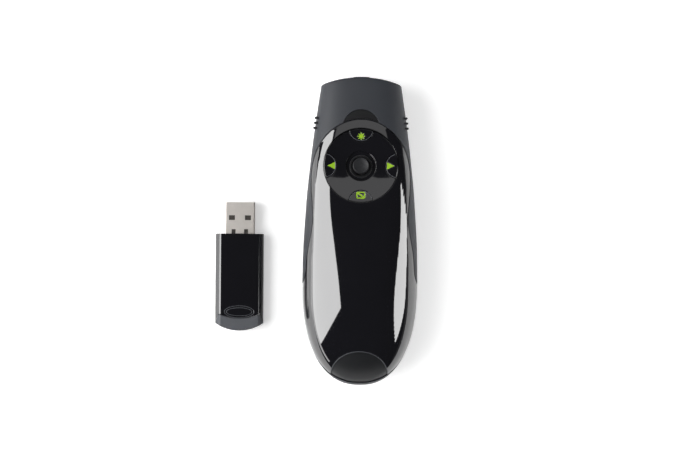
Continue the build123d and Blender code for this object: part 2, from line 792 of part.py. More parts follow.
ring_top = -DISH_DEPTH - DIMPLE_DEPTH
with BuildPart() as joystick_ring:
    with BuildSketch(control_plane.offset(LEDGE_TOP)):
        Circle(RING_OUTER_RADIUS)
        Circle(RING_INNER_RADIUS, mode=Mode.SUBTRACT)
    extrude(amount=ring_top - LEDGE_TOP)
joystick_ring.part.label = "joystick_ring"
export_step(joystick_ring.part, "parts/joystick_ring.step")


# ======== buttons, their icons and plungers ========
def sun_icon(x, y):
    with Locations((x, y)):
        Circle(SUN_RADIUS)
        with PolarLocations((SUN_RADIUS + SUN_REACH) / 2, SUN_RAYS):
            Rectangle(SUN_REACH - SUN_RADIUS + SUN_RAY_WIDTH, SUN_RAY_WIDTH)


def arrow_icon(x, y):
    point = 1 if x > 0 else -1
    Polygon(
        (x + point * ARROW_LENGTH / 2, y),
        (x - point * ARROW_LENGTH / 2, y + ARROW_HEIGHT / 2),
        (x - point * ARROW_LENGTH / 2, y - ARROW_HEIGHT / 2),
        align=None,
    )


def screen_icon(x, y):
    with Locations((x, y)):
        RectangleRounded(SCREEN_WIDTH, SCREEN_HEIGHT, SCREEN_CORNER)
        inner_width = SCREEN_WIDTH - 2 * SCREEN_BORDER
        inner_height = SCREEN_HEIGHT - 2 * SCREEN_BORDER
        Rectangle(inner_width, inner_height, mode=Mode.SUBTRACT)
        with Locations(Rotation(0, 0, -degrees(atan(inner_height / inner_width)))):
            Rectangle(hypot(inner_width, inner_height), SCREEN_SLASH)


icon_drawings = {
    "laser": sun_icon,
    "previous": arrow_icon,
    "next": arrow_icon,
    "screen": screen_icon,
}


def icon_solid(name):
    """An icon as a thin inlay that follows the button's dished top."""
    x, y = button_spots[name]
    with BuildPart() as inlay:
        with BuildSketch(control_plane.offset(FLANGE_TOP)):
            icon_drawings[name](x * icon_pitch, y * icon_pitch)
        extrude(amount=BUTTON_HIGH - FLANGE_TOP)
        add(dish_ball(BUTTON_PROUD), mode=Mode.SUBTRACT)
        add(dish_ball(BUTTON_PROUD - ICON_THICK), mode=Mode.INTERSECT)
    return inlay.part


for name, spot in button_spots.items():
    icon = icon_solid(name)
    stem_at = (spot[0] * button_stem_pitch, spot[1] * button_stem_pitch)
    with BuildPart() as button:
        add(button_prism(spot, 0.0, 0.0, FLANGE_BOTTOM, BUTTON_HIGH))
        add(dish_ball(BUTTON_PROUD), mode=Mode.SUBTRACT)
        add(button_prism(spot, FLANGE_LIP, 0.0, FLANGE_BOTTOM, FLANGE_TOP))
        with BuildSketch(control_plane.offset(STEM_BOTTOM)):
            with Locations(stem_at):
                Circle(BUTTON_STEM_RADIUS)
        extrude(amount=FLANGE_BOTTOM - STEM_BOTTOM)
        add(icon, mode=Mode.SUBTRACT)
    button.part.label = f"{name}_button"
    export_step(button.part, f"parts/{name}_button.step")
    icon.label = f"{name}_icon"
    export_step(icon, f"parts/{name}_icon.step")
    with BuildPart() as plunger:
        with BuildSketch(control_plane.offset(SWITCH_TOP - PLUNGER_REACH)):
            with Locations(stem_at):
                Circle(PLUNGER_RADIUS)
        extrude(amount=STEM_BOTTOM - SWITCH_TOP + PLUNGER_REACH)
    plunger.part.label = f"{name}_plunger"
    export_step(plunger.part, f"parts/{name}_plunger.step")


# ======== joystick: cap, stem, ball and gimbal ========
cap_dish_radius = (CAP_RADIUS**2 + CAP_DISH**2) / (2 * CAP_DISH)
with BuildPart() as joystick_cap:
    add(control_disc_solid(CAP_RADIUS, CAP_BOTTOM, CAP_TOP))
    fillet(joystick_cap.edges().sort_by(Axis.Z)[-1], 0.5)
    with Locations(control_plane.offset(CAP_TOP - CAP_DISH + cap_dish_radius)):
        Sphere(cap_dish_radius, mode=Mode.SUBTRACT)
joystick_cap.part.label = "joystick_cap"
export_step(joystick_cap.part, "parts/joystick_cap.step")

with BuildPart() as joystick_stem:
    add(control_disc_solid(STEM_RADIUS, -PIVOT_DEPTH - STEM_REACH, CAP_BOTTOM))
joystick_stem.part.label = "joystick_stem"
export_step(joystick_stem.part, "parts/joystick_stem.step")

pivot_plane = control_plane.offset(-PIVOT_DEPTH)
across_pins = Plane(origin=pivot_plane.origin, x_dir=pivot_plane.y_dir, z_dir=pivot_plane.x_dir)
along_pins = Plane(origin=pivot_plane.origin, x_dir=pivot_plane.x_dir, z_dir=pivot_plane.y_dir)
ear_inner = GIMBAL_RADIUS + EAR_GAP

with BuildPart() as joystick_ball:
    with Locations(pivot_plane):
        Sphere(BALL_RADIUS)
    add(control_disc_solid(CAP_RADIUS, -CUT, -PIVOT_DEPTH - STEM_REACH), mode=Mode.SUBTRACT)
    with BuildSketch(along_pins.offset(-GIMBAL_RADIUS + SEAT_GAP)):
        Circle(PIN_RADIUS)
    extrude(amount=2 * (GIMBAL_RADIUS - SEAT_GAP))
    add(control_disc_solid(STEM_RADIUS + FIT_GAP, -CUT, CUT), mode=Mode.SUBTRACT)
joystick_ball.part.label = "joystick_ball"
export_step(joystick_ball.part, "parts/joystick_ball.step")

with BuildPart() as joystick_gimbal:
    add(
        control_disc_solid(
            GIMBAL_RADIUS, -PIVOT_DEPTH - GIMBAL_THICK / 2, -PIVOT_DEPTH + GIMBAL_THICK / 2
        )
    )
    with BuildSketch(across_pins.offset(-ear_inner - EAR_THICK)):
        Circle(PIN_RADIUS)
    extrude(amount=2 * (ear_inner + EAR_THICK))
    with BuildSketch(along_pins.offset(-GIMBAL_RADIUS - 1)):
        Circle(PIN_RADIUS + FIT_GAP)
    extrude(amount=2 * (GIMBAL_RADIUS + 1), mode=Mode.SUBTRACT)
    add(control_disc_solid(GIMBAL_BORE, -CUT, CUT), mode=Mode.SUBTRACT)
joystick_gimbal.part.label = "joystick_gimbal"
export_step(joystick_gimbal.part, "parts/joystick_gimbal.step")

ear_top = -PIVOT_DEPTH + PIN_RADIUS + FIT_GAP + 0.5
with BuildPart() as joystick_base:
    with BuildSketch(control_plane.offset(BOARD_TOP)):
        Rectangle(2 * (ear_inner + EAR_THICK), EAR_WIDTH)
        Circle(BALL_RADIUS + GIMBAL_THICK)
        Circle(BALL_RADIUS + GIMBAL_THICK / 2, mode=Mode.SUBTRACT)
    extrude(amount=DOME_HEIGHT)
    with BuildSketch(control_plane.offset(BOARD_TOP)):
        for side in (1, -1):
            with Locations((side * (ear_inner + EAR_THICK / 2), 0)):
                Rectangle(EAR_THICK, EAR_WIDTH)
    extrude(amount=ear_top - BOARD_TOP)
    with BuildSketch(across_pins.offset(-ear_inner - 2 * EAR_THICK)):
        Circle(PIN_RADIUS + FIT_GAP)
    extrude(amount=2 * (ear_inner + 2 * EAR_THICK), mode=Mode.SUBTRACT)
joystick_base.part.label = "joystick_base"
export_step(joystick_base.part, "parts/joystick_base.step")

with BuildPart() as press_dome:
    add(control_disc_solid(DOME_RADIUS, BOARD_TOP, BOARD_TOP + DOME_HEIGHT))
press_dome.part.label = "press_dome"
export_step(press_dome.part, "parts/press_dome.step")


# ======== control board and what stands on it ========
with BuildPart() as control_board:
    with BuildSketch(control_plane.offset(BOARD_TOP - BOARD_THICK)):
        Rectangle(board_width, board_length)
    extrude(amount=BOARD_THICK)
control_board.part.label = "control_board"
export_step(control_board.part, "parts/control_board.step")

with BuildPart() as button_switches:
    for x, y in button_spots.values():
        with BuildSketch(control_plane.offset(BOARD_TOP)):
            with Locations((x * button_stem_pitch, y * button_stem_pitch)):
                Rectangle(SWITCH_SIZE, SWITCH_SIZE)
        extrude(amount=SWITCH_HEIGHT)
        with BuildSketch(control_plane.offset(SWITCH_TOP - SWITCH_WELL_DEPTH)):
            with Locations((x * button_stem_pitch, y * button_stem_pitch)):
                Circle(SWITCH_WELL_RADIUS)
        extrude(amount=SWITCH_WELL_DEPTH, mode=Mode.SUBTRACT)
button_switches.part.label = "button_switches"
export_step(button_switches.part, "parts/button_switches.step")

with BuildPart() as controller_chip:
    with BuildSketch(control_plane.offset(BOARD_TOP)):
        with Locations((0, controller_y)):
            Rectangle(CONTROLLER_SIZE, CONTROLLER_SIZE / 2)
    extrude(amount=CHIP_HEIGHT)
controller_chip.part.label = "controller_chip"
export_step(controller_chip.part, "parts/controller_chip.step")


# ======== laser ========
with BuildPart() as laser_barrel:
    with BuildSketch(Plane.XZ.offset(-barrel_rear_y)):
        with Locations((0, LASER_Z)):
            Circle(BARREL_RADIUS)
    extrude(amount=-BARREL_LENGTH)
    with BuildSketch(Plane.XZ.offset(-barrel_front_y)):
        with Locations((0, LASER_Z)):
            Circle(BARREL_BORE)
    extrude(amount=BARREL_LENGTH * 0.6, mode=Mode.SUBTRACT)
laser_barrel.part.label = "laser_barrel"
export_step(laser_barrel.part, "parts/laser_barrel.step")

with BuildPart() as laser_lens:
    with BuildSketch(Plane.XZ.offset(-barrel_front_y + SEAM)):
        with Locations((0, LASER_Z)):
            Circle(LENS_RADIUS)
    extrude(amount=LENS_THICK)
laser_lens.part.label = "laser_lens"
export_step(laser_lens.part, "parts/laser_lens.step")

with BuildPart() as laser_bezel:
    with BuildSketch(Plane.XZ.offset(-NOSE_Y - BEZEL_PROUD)):
        with Locations((0, LASER_Z)):
            Circle(BEZEL_RADIUS)
            Circle(BEZEL_BORE, mode=Mode.SUBTRACT)
    extrude(amount=NOSE_Y + BEZEL_PROUD - barrel_front_y)
laser_bezel.part.label = "laser_bezel"
export_step(laser_bezel.part, "parts/laser_bezel.step")

driver_bottom_z = BELT_Z + SEAT_GAP
with BuildPart() as laser_driver_board:
    with BuildSketch(Plane.XZ.offset(-barrel_rear_y)):
        with Locations((0, driver_bottom_z + DRIVER_HEIGHT / 2)):
            Rectangle(DRIVER_WIDTH, DRIVER_HEIGHT)
    extrude(amount=DRIVER_THICK)
laser_driver_board.part.label = "laser_driver_board"
export_step(laser_driver_board.part, "parts/laser_driver_board.step")


# ======== battery tray, cells, contacts, springs, door ========
tray_mid_y = (tray_rear_y + tray_front_y) / 2
with BuildPart() as battery_tray:
    with BuildSketch():
        with Locations((0, tray_mid_y)):
            Rectangle(2 * (TRAY_HALF_WIDTH + TRAY_WALL), TRAY_LENGTH + 2 * TRAY_WALL)
            Rectangle(2 * TRAY_HALF_WIDTH, TRAY_LENGTH, mode=Mode.SUBTRACT)
    extrude(amount=TRAY_TOP_Z)
    add(TRAY_LIMIT, mode=Mode.INTERSECT)
battery_tray.part.label = "battery_tray"
export_step(battery_tray.part, "parts/battery_tray.step")

spring_room = TRAY_LENGTH - 2 * CONTACT_THICK - CELL_LENGTH - CELL_NIPPLE
cell_places = {"left": (-CELL_PITCH / 2, 1), "right": (CELL_PITCH / 2, -1)}
for name, (x, way) in cell_places.items():
    positive_y = tray_mid_y + way * (TRAY_LENGTH / 2 - CONTACT_THICK)
    with BuildPart() as cell:
        with BuildSketch(Plane.XZ.offset(-positive_y)):
            with Locations((x, CELL_Z)):
                Circle(CELL_NIPPLE_RADIUS)
        extrude(amount=way * CELL_NIPPLE)
        with BuildSketch(Plane.XZ.offset(-positive_y + way * CELL_NIPPLE)):
            with Locations((x, CELL_Z)):
                Circle(CELL_RADIUS)
        extrude(amount=way * CELL_LENGTH)
    cell.part.label = f"{name}_cell"
    export_step(cell.part, f"parts/{name}_cell.step")

with BuildPart() as battery_contacts:
    for x, way in cell_places.values():
        for end in (1, -1):
            face_y = tray_mid_y + end * TRAY_LENGTH / 2
            with BuildSketch(Plane.XZ.offset(-face_y)):
                with Locations((x, CELL_Z)):
                    Rectangle(CONTACT_SIZE, CONTACT_SIZE)
            extrude(amount=end * CONTACT_THICK)
battery_contacts.part.label = "battery_contacts"
export_step(battery_contacts.part, "parts/battery_contacts.step")

spring_height = spring_room - 2 * SPRING_WIRE
with BuildPart() as battery_springs:
    for x, way in cell_places.values():
        start_y = tray_mid_y - way * (TRAY_LENGTH / 2 - CONTACT_THICK - SPRING_WIRE)
        with BuildLine() as coil:
            Helix(
                spring_height / SPRING_TURNS,
                spring_height,
                SPRING_RADIUS,
                center=(x, start_y, CELL_Z),
                direction=(0, way, 0),
            )
        with BuildSketch(Plane(origin=coil.line @ 0, z_dir=coil.line % 0)):
            Circle(SPRING_WIRE)
        sweep(path=coil.line)
battery_springs.part.label = "battery_springs"
export_step(battery_springs.part, "parts/battery_springs.step")

tab_tip_y = door_front_y + DOOR_GAP + TAB_REACH
tab_z = under_height((TAB_PITCH + TAB_WIDTH) / 2, tab_tip_y, WALL) + SEAT_GAP
with BuildPart() as battery_door:
    add(OUTER)
    add(door_prism(0.0, LAND_Z + DOOR_LIFT, BELT_Z / 2), mode=Mode.INTERSECT)
    add(INSIDE, mode=Mode.SUBTRACT)
    riser_base_z = bottom_height(door_front_y) + WALL / 2
    with BuildSketch(Plane.XY.offset(riser_base_z)):
        with Locations((0, door_front_y - TAB_THICK / 2)):
            with GridLocations(TAB_PITCH, 1, 2, 1):
                Rectangle(TAB_WIDTH, TAB_THICK)
    extrude(amount=tab_z + TAB_THICK - riser_base_z)
    with BuildSketch(Plane.XY.offset(tab_z)):
        with Locations((0, (door_front_y + tab_tip_y) / 2)):
            with GridLocations(TAB_PITCH, 1, 2, 1):
                Rectangle(TAB_WIDTH, tab_tip_y - door_front_y)
    extrude(amount=TAB_THICK)
    with BuildSketch(Plane.XY.offset(LAND_Z + DOOR_LIFT)):
        with Locations((0, door_rear_y + TAB_THICK / 2)):
            Rectangle(CATCH_WIDTH, TAB_THICK)
    extrude(amount=WALL + CATCH_HEIGHT)
    with BuildSketch(Plane.XY.offset(LAND_Z)):
        with Locations((0, door_rear_y + 2 * DOOR_CORNER + GROOVE_COUNT * GROOVE_PITCH / 2)):
            with GridLocations(1, GROOVE_PITCH, 1, GROOVE_COUNT):
                SlotOverall(GROOVE_LENGTH, GROOVE_WIDTH)
    extrude(amount=DOOR_LIFT + GROOVE_DEPTH, mode=Mode.SUBTRACT)
battery_door.part.label = "battery_door"
export_step(battery_door.part, "parts/battery_door.step")


# ======== power switch under the nose ========
knob_x = -KNOB_TRAVEL / 2
power_body_low = WALL + SEAT_GAP
with BuildPart() as power_slider:
    with BuildSketch(switch_plane.offset(KNOB_SINK)):
        with Locations((knob_x, 0)):
            Rectangle(KNOB_LENGTH, KNOB_WIDTH)
    extrude(amount=WALL - KNOB_SINK)
    with BuildSketch(switch_plane.offset(WALL)):
        with Locations((knob_x, 0)):
            Rectangle(KNOB_NECK, KNOB_NECK)
    extrude(amount=SEAT_GAP + NECK_REACH)
    with BuildSketch(switch_plane.offset(KNOB_SINK)):
        with Locations((knob_x, 0)):
            with GridLocations(GROOVE_PITCH, 1, GROOVE_COUNT - 1, 1):
                Rectangle(GROOVE_WIDTH / 2, KNOB_WIDTH)
    extrude(amount=GROOVE_DEPTH, mode=Mode.SUBTRACT)
power_slider.part.label = "power_slider"
export_step(power_slider.part, "parts/power_slider.step")

with BuildPart() as power_switch_body:
    with BuildSketch(switch_plane.offset(power_body_low)):
        Rectangle(POWER_BODY_LENGTH, POWER_BODY_WIDTH)
    extrude(amount=POWER_BODY_HEIGHT)
    with BuildSketch(switch_plane.offset(power_body_low)):
        Rectangle(KNOB_NECK + KNOB_TRAVEL + 2 * SEAT_GAP, KNOB_NECK + 2 * SEAT_GAP)
    extrude(amount=NECK_REACH + SEAT_GAP, mode=Mode.SUBTRACT)
power_switch_body.part.label = "power_switch_body"
export_step(power_switch_body.part, "parts/power_switch_body.step")


# ======== case screws ========
with BuildPart() as case_screws:
    for x, y, seat_z in screw_places:
        with BuildSketch(Plane.XY.offset(seat_z - SCREW_HEAD_HEIGHT)):
            with Locations((x, y)):
                Circle(SCREW_HEAD_RADIUS)
        extrude(amount=SCREW_HEAD_HEIGHT)
        with BuildSketch(Plane.XY.offset(seat_z)):
            with Locations((x, y)):
                Circle(SCREW_SHANK_RADIUS)
        extrude(amount=BELT_Z + SCREW_BITE - seat_z)
        with BuildSketch(Plane.XY.offset(seat_z - SCREW_HEAD_HEIGHT)):
            with Locations((x, y)):
                Rectangle(2 * SCREW_HEAD_RADIUS - 1, SCREW_SLOT)
                Rectangle(SCREW_SLOT, 2 * SCREW_HEAD_RADIUS - 1)
        extrude(amount=SCREW_HEAD_HEIGHT / 2, mode=Mode.SUBTRACT)
case_screws.part.label = "case_screws"
export_step(case_screws.part, "parts/case_screws.step")


# ======== receiver bay's cradle and the radio board over it ========
cradle_mid_z = (BAY_FLOOR_Z + bay_top_z) / 2
cradle_height = bay_top_z - BAY_FLOOR_Z + 2 * CRADLE_WALL
cradle_top_z = bay_top_z + CRADLE_WALL
radio_front_y = RADIO_BOARD_REAR_Y + RADIO_BOARD_LENGTH
post_front_y = min(radio_front_y, cradle_front_y) - 2 * CRADLE_POST_RADIUS
post_rear_y = RADIO_BOARD_REAR_Y + 2 * CRADLE_POST_RADIUS
with BuildPart() as receiver_cradle:
    with BuildSketch(Plane.XZ.offset(-cradle_rear_y)):
        with Locations((0, cradle_mid_z)):
            Rectangle(2 * (bay_half_width + CRADLE_WALL), cradle_height)
    extrude(amount=-(cradle_front_y - cradle_rear_y))
    with BuildSketch(Plane.XZ.offset(-cradle_rear_y)):
        with Locations((0, cradle_mid_z)):
            Rectangle(2 * bay_half_width, bay_top_z - BAY_FLOOR_Z)
    extrude(amount=-(bay_front_y - cradle_rear_y), mode=Mode.SUBTRACT)
    add(TRAY_LIMIT, mode=Mode.INTERSECT)
    with BuildSketch(Plane.XY.offset(cradle_top_z)):
        for y in (post_front_y, post_rear_y):
            with Locations((CRADLE_POST_X, y), (-CRADLE_POST_X, y)):
                Circle(CRADLE_POST_RADIUS)
    extrude(amount=RADIO_BOARD_Z - cradle_top_z)
receiver_cradle.part.label = "receiver_cradle"
export_step(receiver_cradle.part, "parts/receiver_cradle.step")

with BuildPart() as radio_board:
    with BuildSketch(Plane.XY.offset(RADIO_BOARD_Z)):
        with Locations((0, (RADIO_BOARD_REAR_Y + radio_front_y) / 2)):
            Rectangle(RADIO_BOARD_WIDTH, RADIO_BOARD_LENGTH)
    extrude(amount=BOARD_THICK)
radio_board.part.label = "radio_board"
export_step(radio_board.part, "parts/radio_board.step")

radio_top_z = RADIO_BOARD_Z + BOARD_THICK
with BuildPart() as radio_chip:
    with BuildSketch(Plane.XY.offset(radio_top_z)):
        with Locations((0, (RADIO_BOARD_REAR_Y + radio_front_y) / 2)):
            Rectangle(RADIO_CHIP_SIZE, RADIO_CHIP_SIZE)
    extrude(amount=CHIP_HEIGHT)
radio_chip.part.label = "radio_chip"
export_step(radio_chip.part, "parts/radio_chip.step")

with BuildPart() as crystal:
    with BuildSketch(Plane.XY.offset(radio_top_z)):
        with Locations((RADIO_CHIP_SIZE, (RADIO_BOARD_REAR_Y + radio_front_y) / 2)):
            RectangleRounded(CRYSTAL_WIDTH, CRYSTAL_LENGTH, CRYSTAL_WIDTH / 4)
    extrude(amount=CHIP_HEIGHT)
crystal.part.label = "crystal"
export_step(crystal.part, "parts/crystal.step")

antenna_pitch = ANTENNA_SPAN / ANTENNA_TURNS
antenna_rear_y = RADIO_BOARD_REAR_Y + 1.5
with BuildPart() as antenna:
    with BuildSketch(Plane.XY.offset(radio_top_z)):
        for i in range(ANTENNA_TURNS + 1):
            with Locations((i * antenna_pitch - ANTENNA_SPAN / 2, antenna_rear_y + ANTENNA_DEPTH / 2)):
                Rectangle(ANTENNA_STRIP, ANTENNA_DEPTH)
        for i in range(ANTENNA_TURNS):
            end_y = antenna_rear_y + (ANTENNA_DEPTH - ANTENNA_STRIP / 2 if i % 2 else ANTENNA_STRIP / 2)
            with Locations(((i + 0.5) * antenna_pitch - ANTENNA_SPAN / 2, end_y)):
                Rectangle(antenna_pitch, ANTENNA_STRIP)
    extrude(amount=ANTENNA_THICK)
antenna.part.label = "antenna"
export_step(antenna.part, "parts/antenna.step")

board_rear = control_plane.from_local_coords((0, -board_length / 2, BOARD_TOP))
lap_end = control_plane.from_local_coords((0, RIBBON_LAP - board_length / 2, BOARD_TOP))
with BuildPart() as ribbon:
    with BuildSketch(Plane.YZ.offset(-RIBBON_WIDTH / 2)):
        with BuildLine():
            Polyline(
                (radio_front_y - RIBBON_LAP, radio_top_z),
                (radio_front_y, radio_top_z),
                (board_rear.Y, board_rear.Z),
                (lap_end.Y, lap_end.Z),
                (lap_end.Y, lap_end.Z + RIBBON_THICK),
                (board_rear.Y, board_rear.Z + RIBBON_THICK),
                (radio_front_y, radio_top_z + RIBBON_THICK),
                (radio_front_y - RIBBON_LAP, radio_top_z + RIBBON_THICK),
                close=True,
            )
        make_face()
    extrude(amount=RIBBON_WIDTH)
ribbon.part.label = "ribbon"
export_step(ribbon.part, "parts/ribbon.step")

with BuildPart() as bay_latch:
    with BuildSketch(Plane.XY.offset(cradle_top_z)):
        with Locations((0, cradle_front_y - LATCH_LENGTH)):
            Rectangle(LATCH_WIDTH, LATCH_LENGTH)
    extrude(amount=CHIP_HEIGHT)
bay_latch.part.label = "bay_latch"
export_step(bay_latch.part, "parts/bay_latch.step")


# ======== receiver ========
receiver_mid_z = LAND_Z + RECEIVER_THICK / 2
half_receiver = RECEIVER_WIDTH / 2


def receiver_block(inset, rear_y, front_y):
    """The receiver's bar with its long edges bevelled, between two stations."""
    flat = RECEIVER_TOP_WIDTH / 2
    tall = RECEIVER_THICK / 2
    side = tall - RECEIVER_BEVEL_DROP
    upper = [(-half_receiver, side), (-flat, tall), (flat, tall), (half_receiver, side)]
    lower = [(x, -z) for x, z in reversed(upper)]
    with BuildPart() as bar:
        with BuildSketch(Plane.XZ.offset(-rear_y)) as outline:
            with Locations((RECEIVER_X, receiver_mid_z)):
                Polygon(*upper, *lower)
            fillet(outline.vertices(), RECEIVER_EDGE_RADIUS)
            if inset > 0:
                offset(amount=-inset)
        extrude(amount=-(front_y - rear_y))
    return bar.part


def cap_zone(margin):
    """All on the tail side of the line where the end cap begins: an arc, then a slant down each side."""
    line_end_y = CAP_LINE_Y + CAP_LINE_SAGITTA + margin
    side_y = line_end_y - CAP_SIDE_DROP
    with BuildPart() as zone:
        with BuildSketch():
            with BuildLine():
                ThreePointArc(
                    (RECEIVER_X - CAP_LINE_HALF, line_end_y),
                    (RECEIVER_X, CAP_LINE_Y + margin),
                    (RECEIVER_X + CAP_LINE_HALF, line_end_y),
                )
                Polyline(
                    (RECEIVER_X + CAP_LINE_HALF, line_end_y),
                    (RECEIVER_X + half_receiver, side_y),
                    (RECEIVER_X + half_receiver, RECEIVER_END_Y - WALL),
                    (RECEIVER_X - half_receiver, RECEIVER_END_Y - WALL),
                    (RECEIVER_X - half_receiver, side_y),
                    (RECEIVER_X - CAP_LINE_HALF, line_end_y),
                )
            make_face()
        extrude(amount=RECEIVER_THICK)
    return zone.part


def receiver_end_trim():
    """The receiver's outline with its bowed end, which carries on the clicker's tail."""
    corner_y = RECEIVER_END_Y + CAP_END_SAGITTA
    with BuildPart() as trim:
        with BuildSketch():
            with BuildLine():
                ThreePointArc(
                    (RECEIVER_X - half_receiver, corner_y),
                    (RECEIVER_X, RECEIVER_END_Y),
                    (RECEIVER_X + half_receiver, corner_y),
                )
                Polyline(
                    (RECEIVER_X + half_receiver, corner_y),
                    (RECEIVER_X + half_receiver, RECEIVER_BODY_FRONT_Y),
                    (RECEIVER_X - half_receiver, RECEIVER_BODY_FRONT_Y),
                    (RECEIVER_X - half_receiver, corner_y),
                )
            make_face()
        extrude(amount=RECEIVER_THICK)
    return trim.part


def plug_block(inset, from_y, to_y):
    with BuildPart() as bar:
        with BuildSketch(Plane.XZ.offset(-from_y)):
            with Locations((RECEIVER_X, receiver_mid_z)):
                RectangleRounded(
                    PLUG_WIDTH - 2 * inset, PLUG_HEIGHT - 2 * inset, max(PLUG_CORNER - inset, 0.1)
                )
        extrude(amount=-(to_y - from_y))
    return bar.part


plug_tip_y = RECEIVER_BODY_FRONT_Y + PLUG_LENGTH
plug_root_y = RECEIVER_BODY_FRONT_Y - PLUG_ROOT
hollow_rear_y = CAP_LINE_Y + CAP_LINE_SAGITTA + SEAM
for name, half in (("receiver_top_shell", 1), ("receiver_bottom_shell", -1)):
    with BuildPart() as shell:
        add(receiver_block(0.0, RECEIVER_END_Y, RECEIVER_BODY_FRONT_Y))
        add(cap_zone(SEAM / 2), mode=Mode.SUBTRACT)
        hollow = receiver_block(RECEIVER_WALL, hollow_rear_y, RECEIVER_BODY_FRONT_Y - RECEIVER_WALL)
        add(hollow, mode=Mode.SUBTRACT)
        add(plug_block(-FIT_GAP, plug_root_y, plug_tip_y), mode=Mode.SUBTRACT)
        if half > 0:
            add(above(receiver_mid_z - CUT, CUT), mode=Mode.SUBTRACT)
            with BuildSketch(Plane.XY.offset(LAND_Z + RECEIVER_THICK - THUMB_OVAL_DEPTH)):
                with Locations((RECEIVER_X, THUMB_OVAL_Y)):
                    Ellipse(THUMB_OVAL_HALF_LENGTH, THUMB_OVAL_HALF_WIDTH)
                    Ellipse(
                        THUMB_OVAL_HALF_LENGTH - THUMB_RING_WIDTH,
                        THUMB_OVAL_HALF_WIDTH - THUMB_RING_WIDTH,
                        mode=Mode.SUBTRACT,
                    )
            extrude(amount=CUT, mode=Mode.SUBTRACT)
        else:
            add(above(receiver_mid_z), mode=Mode.SUBTRACT)
    shell.part.label = name
    export_step(shell.part, f"parts/{name}.step")

with BuildPart() as receiver_end_cap:
    add(receiver_block(0.0, RECEIVER_END_Y, CAP_LINE_Y + CAP_LINE_SAGITTA + WALL))
    add(cap_zone(-SEAM / 2), mode=Mode.INTERSECT)
    add(receiver_end_trim(), mode=Mode.INTERSECT)
receiver_end_cap.part.label = "receiver_end_cap"
export_step(receiver_end_cap.part, "parts/receiver_end_cap.step")

with BuildPart() as plug_shell:
    add(plug_block(0.0, plug_root_y, plug_tip_y))
    add(plug_block(PLUG_SHEET, plug_root_y, plug_tip_y), mode=Mode.SUBTRACT)
    with BuildSketch(Plane.XY.offset(LAND_Z)):
        with Locations((RECEIVER_X, plug_tip_y - PLUG_WINDOW_FROM_TIP)):
            with GridLocations(PLUG_WINDOW_PITCH, 1, 2, 1):
                Rectangle(PLUG_WINDOW_WIDTH, PLUG_WINDOW_LENGTH)
        with Locations((RECEIVER_X, plug_tip_y - PLUG_SLOT_FROM_TIP)):
            with GridLocations(PLUG_SLOT_PITCH, 1, 2, 1):
                Rectangle(PLUG_SLOT_WIDTH, PLUG_SLOT_LENGTH)
    extrude(amount=RECEIVER_THICK, mode=Mode.SUBTRACT)
plug_shell.part.label = "plug_shell"
export_step(plug_shell.part, "parts/plug_shell.step")

tongue_half = PLUG_WIDTH / 2 - PLUG_SHEET - FIT_GAP
tongue_low_z = receiver_mid_z + PLUG_HEIGHT / 2 - PLUG_SHEET - FIT_GAP - TONGUE_THICK
with BuildPart() as plug_tongue:
    with BuildSketch(Plane.XY.offset(tongue_low_z)):
        with Locations((RECEIVER_X, (plug_root_y + plug_tip_y - TONGUE_SHORT) / 2)):
            Rectangle(2 * tongue_half, plug_tip_y - TONGUE_SHORT - plug_root_y)
    extrude(amount=TONGUE_THICK)
plug_tongue.part.label = "plug_tongue"
export_step(plug_tongue.part, "parts/plug_tongue.step")

with BuildPart() as plug_contacts:
    with BuildSketch(Plane.XY.offset(tongue_low_z - PIN_PAD_THICK)):
        with Locations((RECEIVER_X, plug_tip_y - TONGUE_SHORT - PIN_PAD_LENGTH / 2 - 1)):
            with GridLocations(PIN_PAD_PITCH, 1, PIN_PADS, 1):
                Rectangle(PIN_PAD_WIDTH, PIN_PAD_LENGTH)
    extrude(amount=PIN_PAD_THICK)
plug_contacts.part.label = "plug_contacts"
export_step(plug_contacts.part, "parts/plug_contacts.step")

board_front_y = plug_root_y - FIT_GAP
board_rear_y = hollow_rear_y + RECEIVER_BOARD_SHORT
receiver_board_z = receiver_mid_z - RECEIVER_BOARD_THICK / 2
with BuildPart() as receiver_board:
    with BuildSketch(Plane.XY.offset(receiver_board_z)):
        with Locations((RECEIVER_X, (board_rear_y + board_front_y) / 2)):
            Rectangle(RECEIVER_WIDTH - 2 * RECEIVER_WALL - 2 * SEAT_GAP, board_front_y - board_rear_y)
    extrude(amount=RECEIVER_BOARD_THICK)
receiver_board.part.label = "receiver_board"
export_step(receiver_board.part, "parts/receiver_board.step")

with BuildPart() as receiver_chip:
    with BuildSketch(Plane.XY.offset(receiver_board_z + RECEIVER_BOARD_THICK)):
        with Locations((RECEIVER_X, (board_rear_y + board_front_y) / 2)):
            Rectangle(RECEIVER_CHIP_SIZE, RECEIVER_CHIP_SIZE)
    extrude(amount=CHIP_HEIGHT)
receiver_chip.part.label = "receiver_chip"
export_step(receiver_chip.part, "parts/receiver_chip.step")
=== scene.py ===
"""The looks of a wireless presentation clicker and its plug-in receiver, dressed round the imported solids.

Metres, in the solids' own frame: +Y points to the clicker's nose, +X to its right and +Z up.
The outer form, the beads and the control disc are worked out in millimetres.
"""

import json
import math

import bmesh
import bpy
from mathutils import Matrix, Vector
from mathutils.kdtree import KDTree


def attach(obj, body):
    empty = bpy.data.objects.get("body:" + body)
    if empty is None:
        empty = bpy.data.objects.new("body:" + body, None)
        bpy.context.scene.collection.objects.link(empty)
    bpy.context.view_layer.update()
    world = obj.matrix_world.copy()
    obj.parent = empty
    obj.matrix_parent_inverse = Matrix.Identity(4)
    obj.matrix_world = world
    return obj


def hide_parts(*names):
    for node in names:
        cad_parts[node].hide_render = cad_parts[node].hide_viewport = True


MM = 0.001

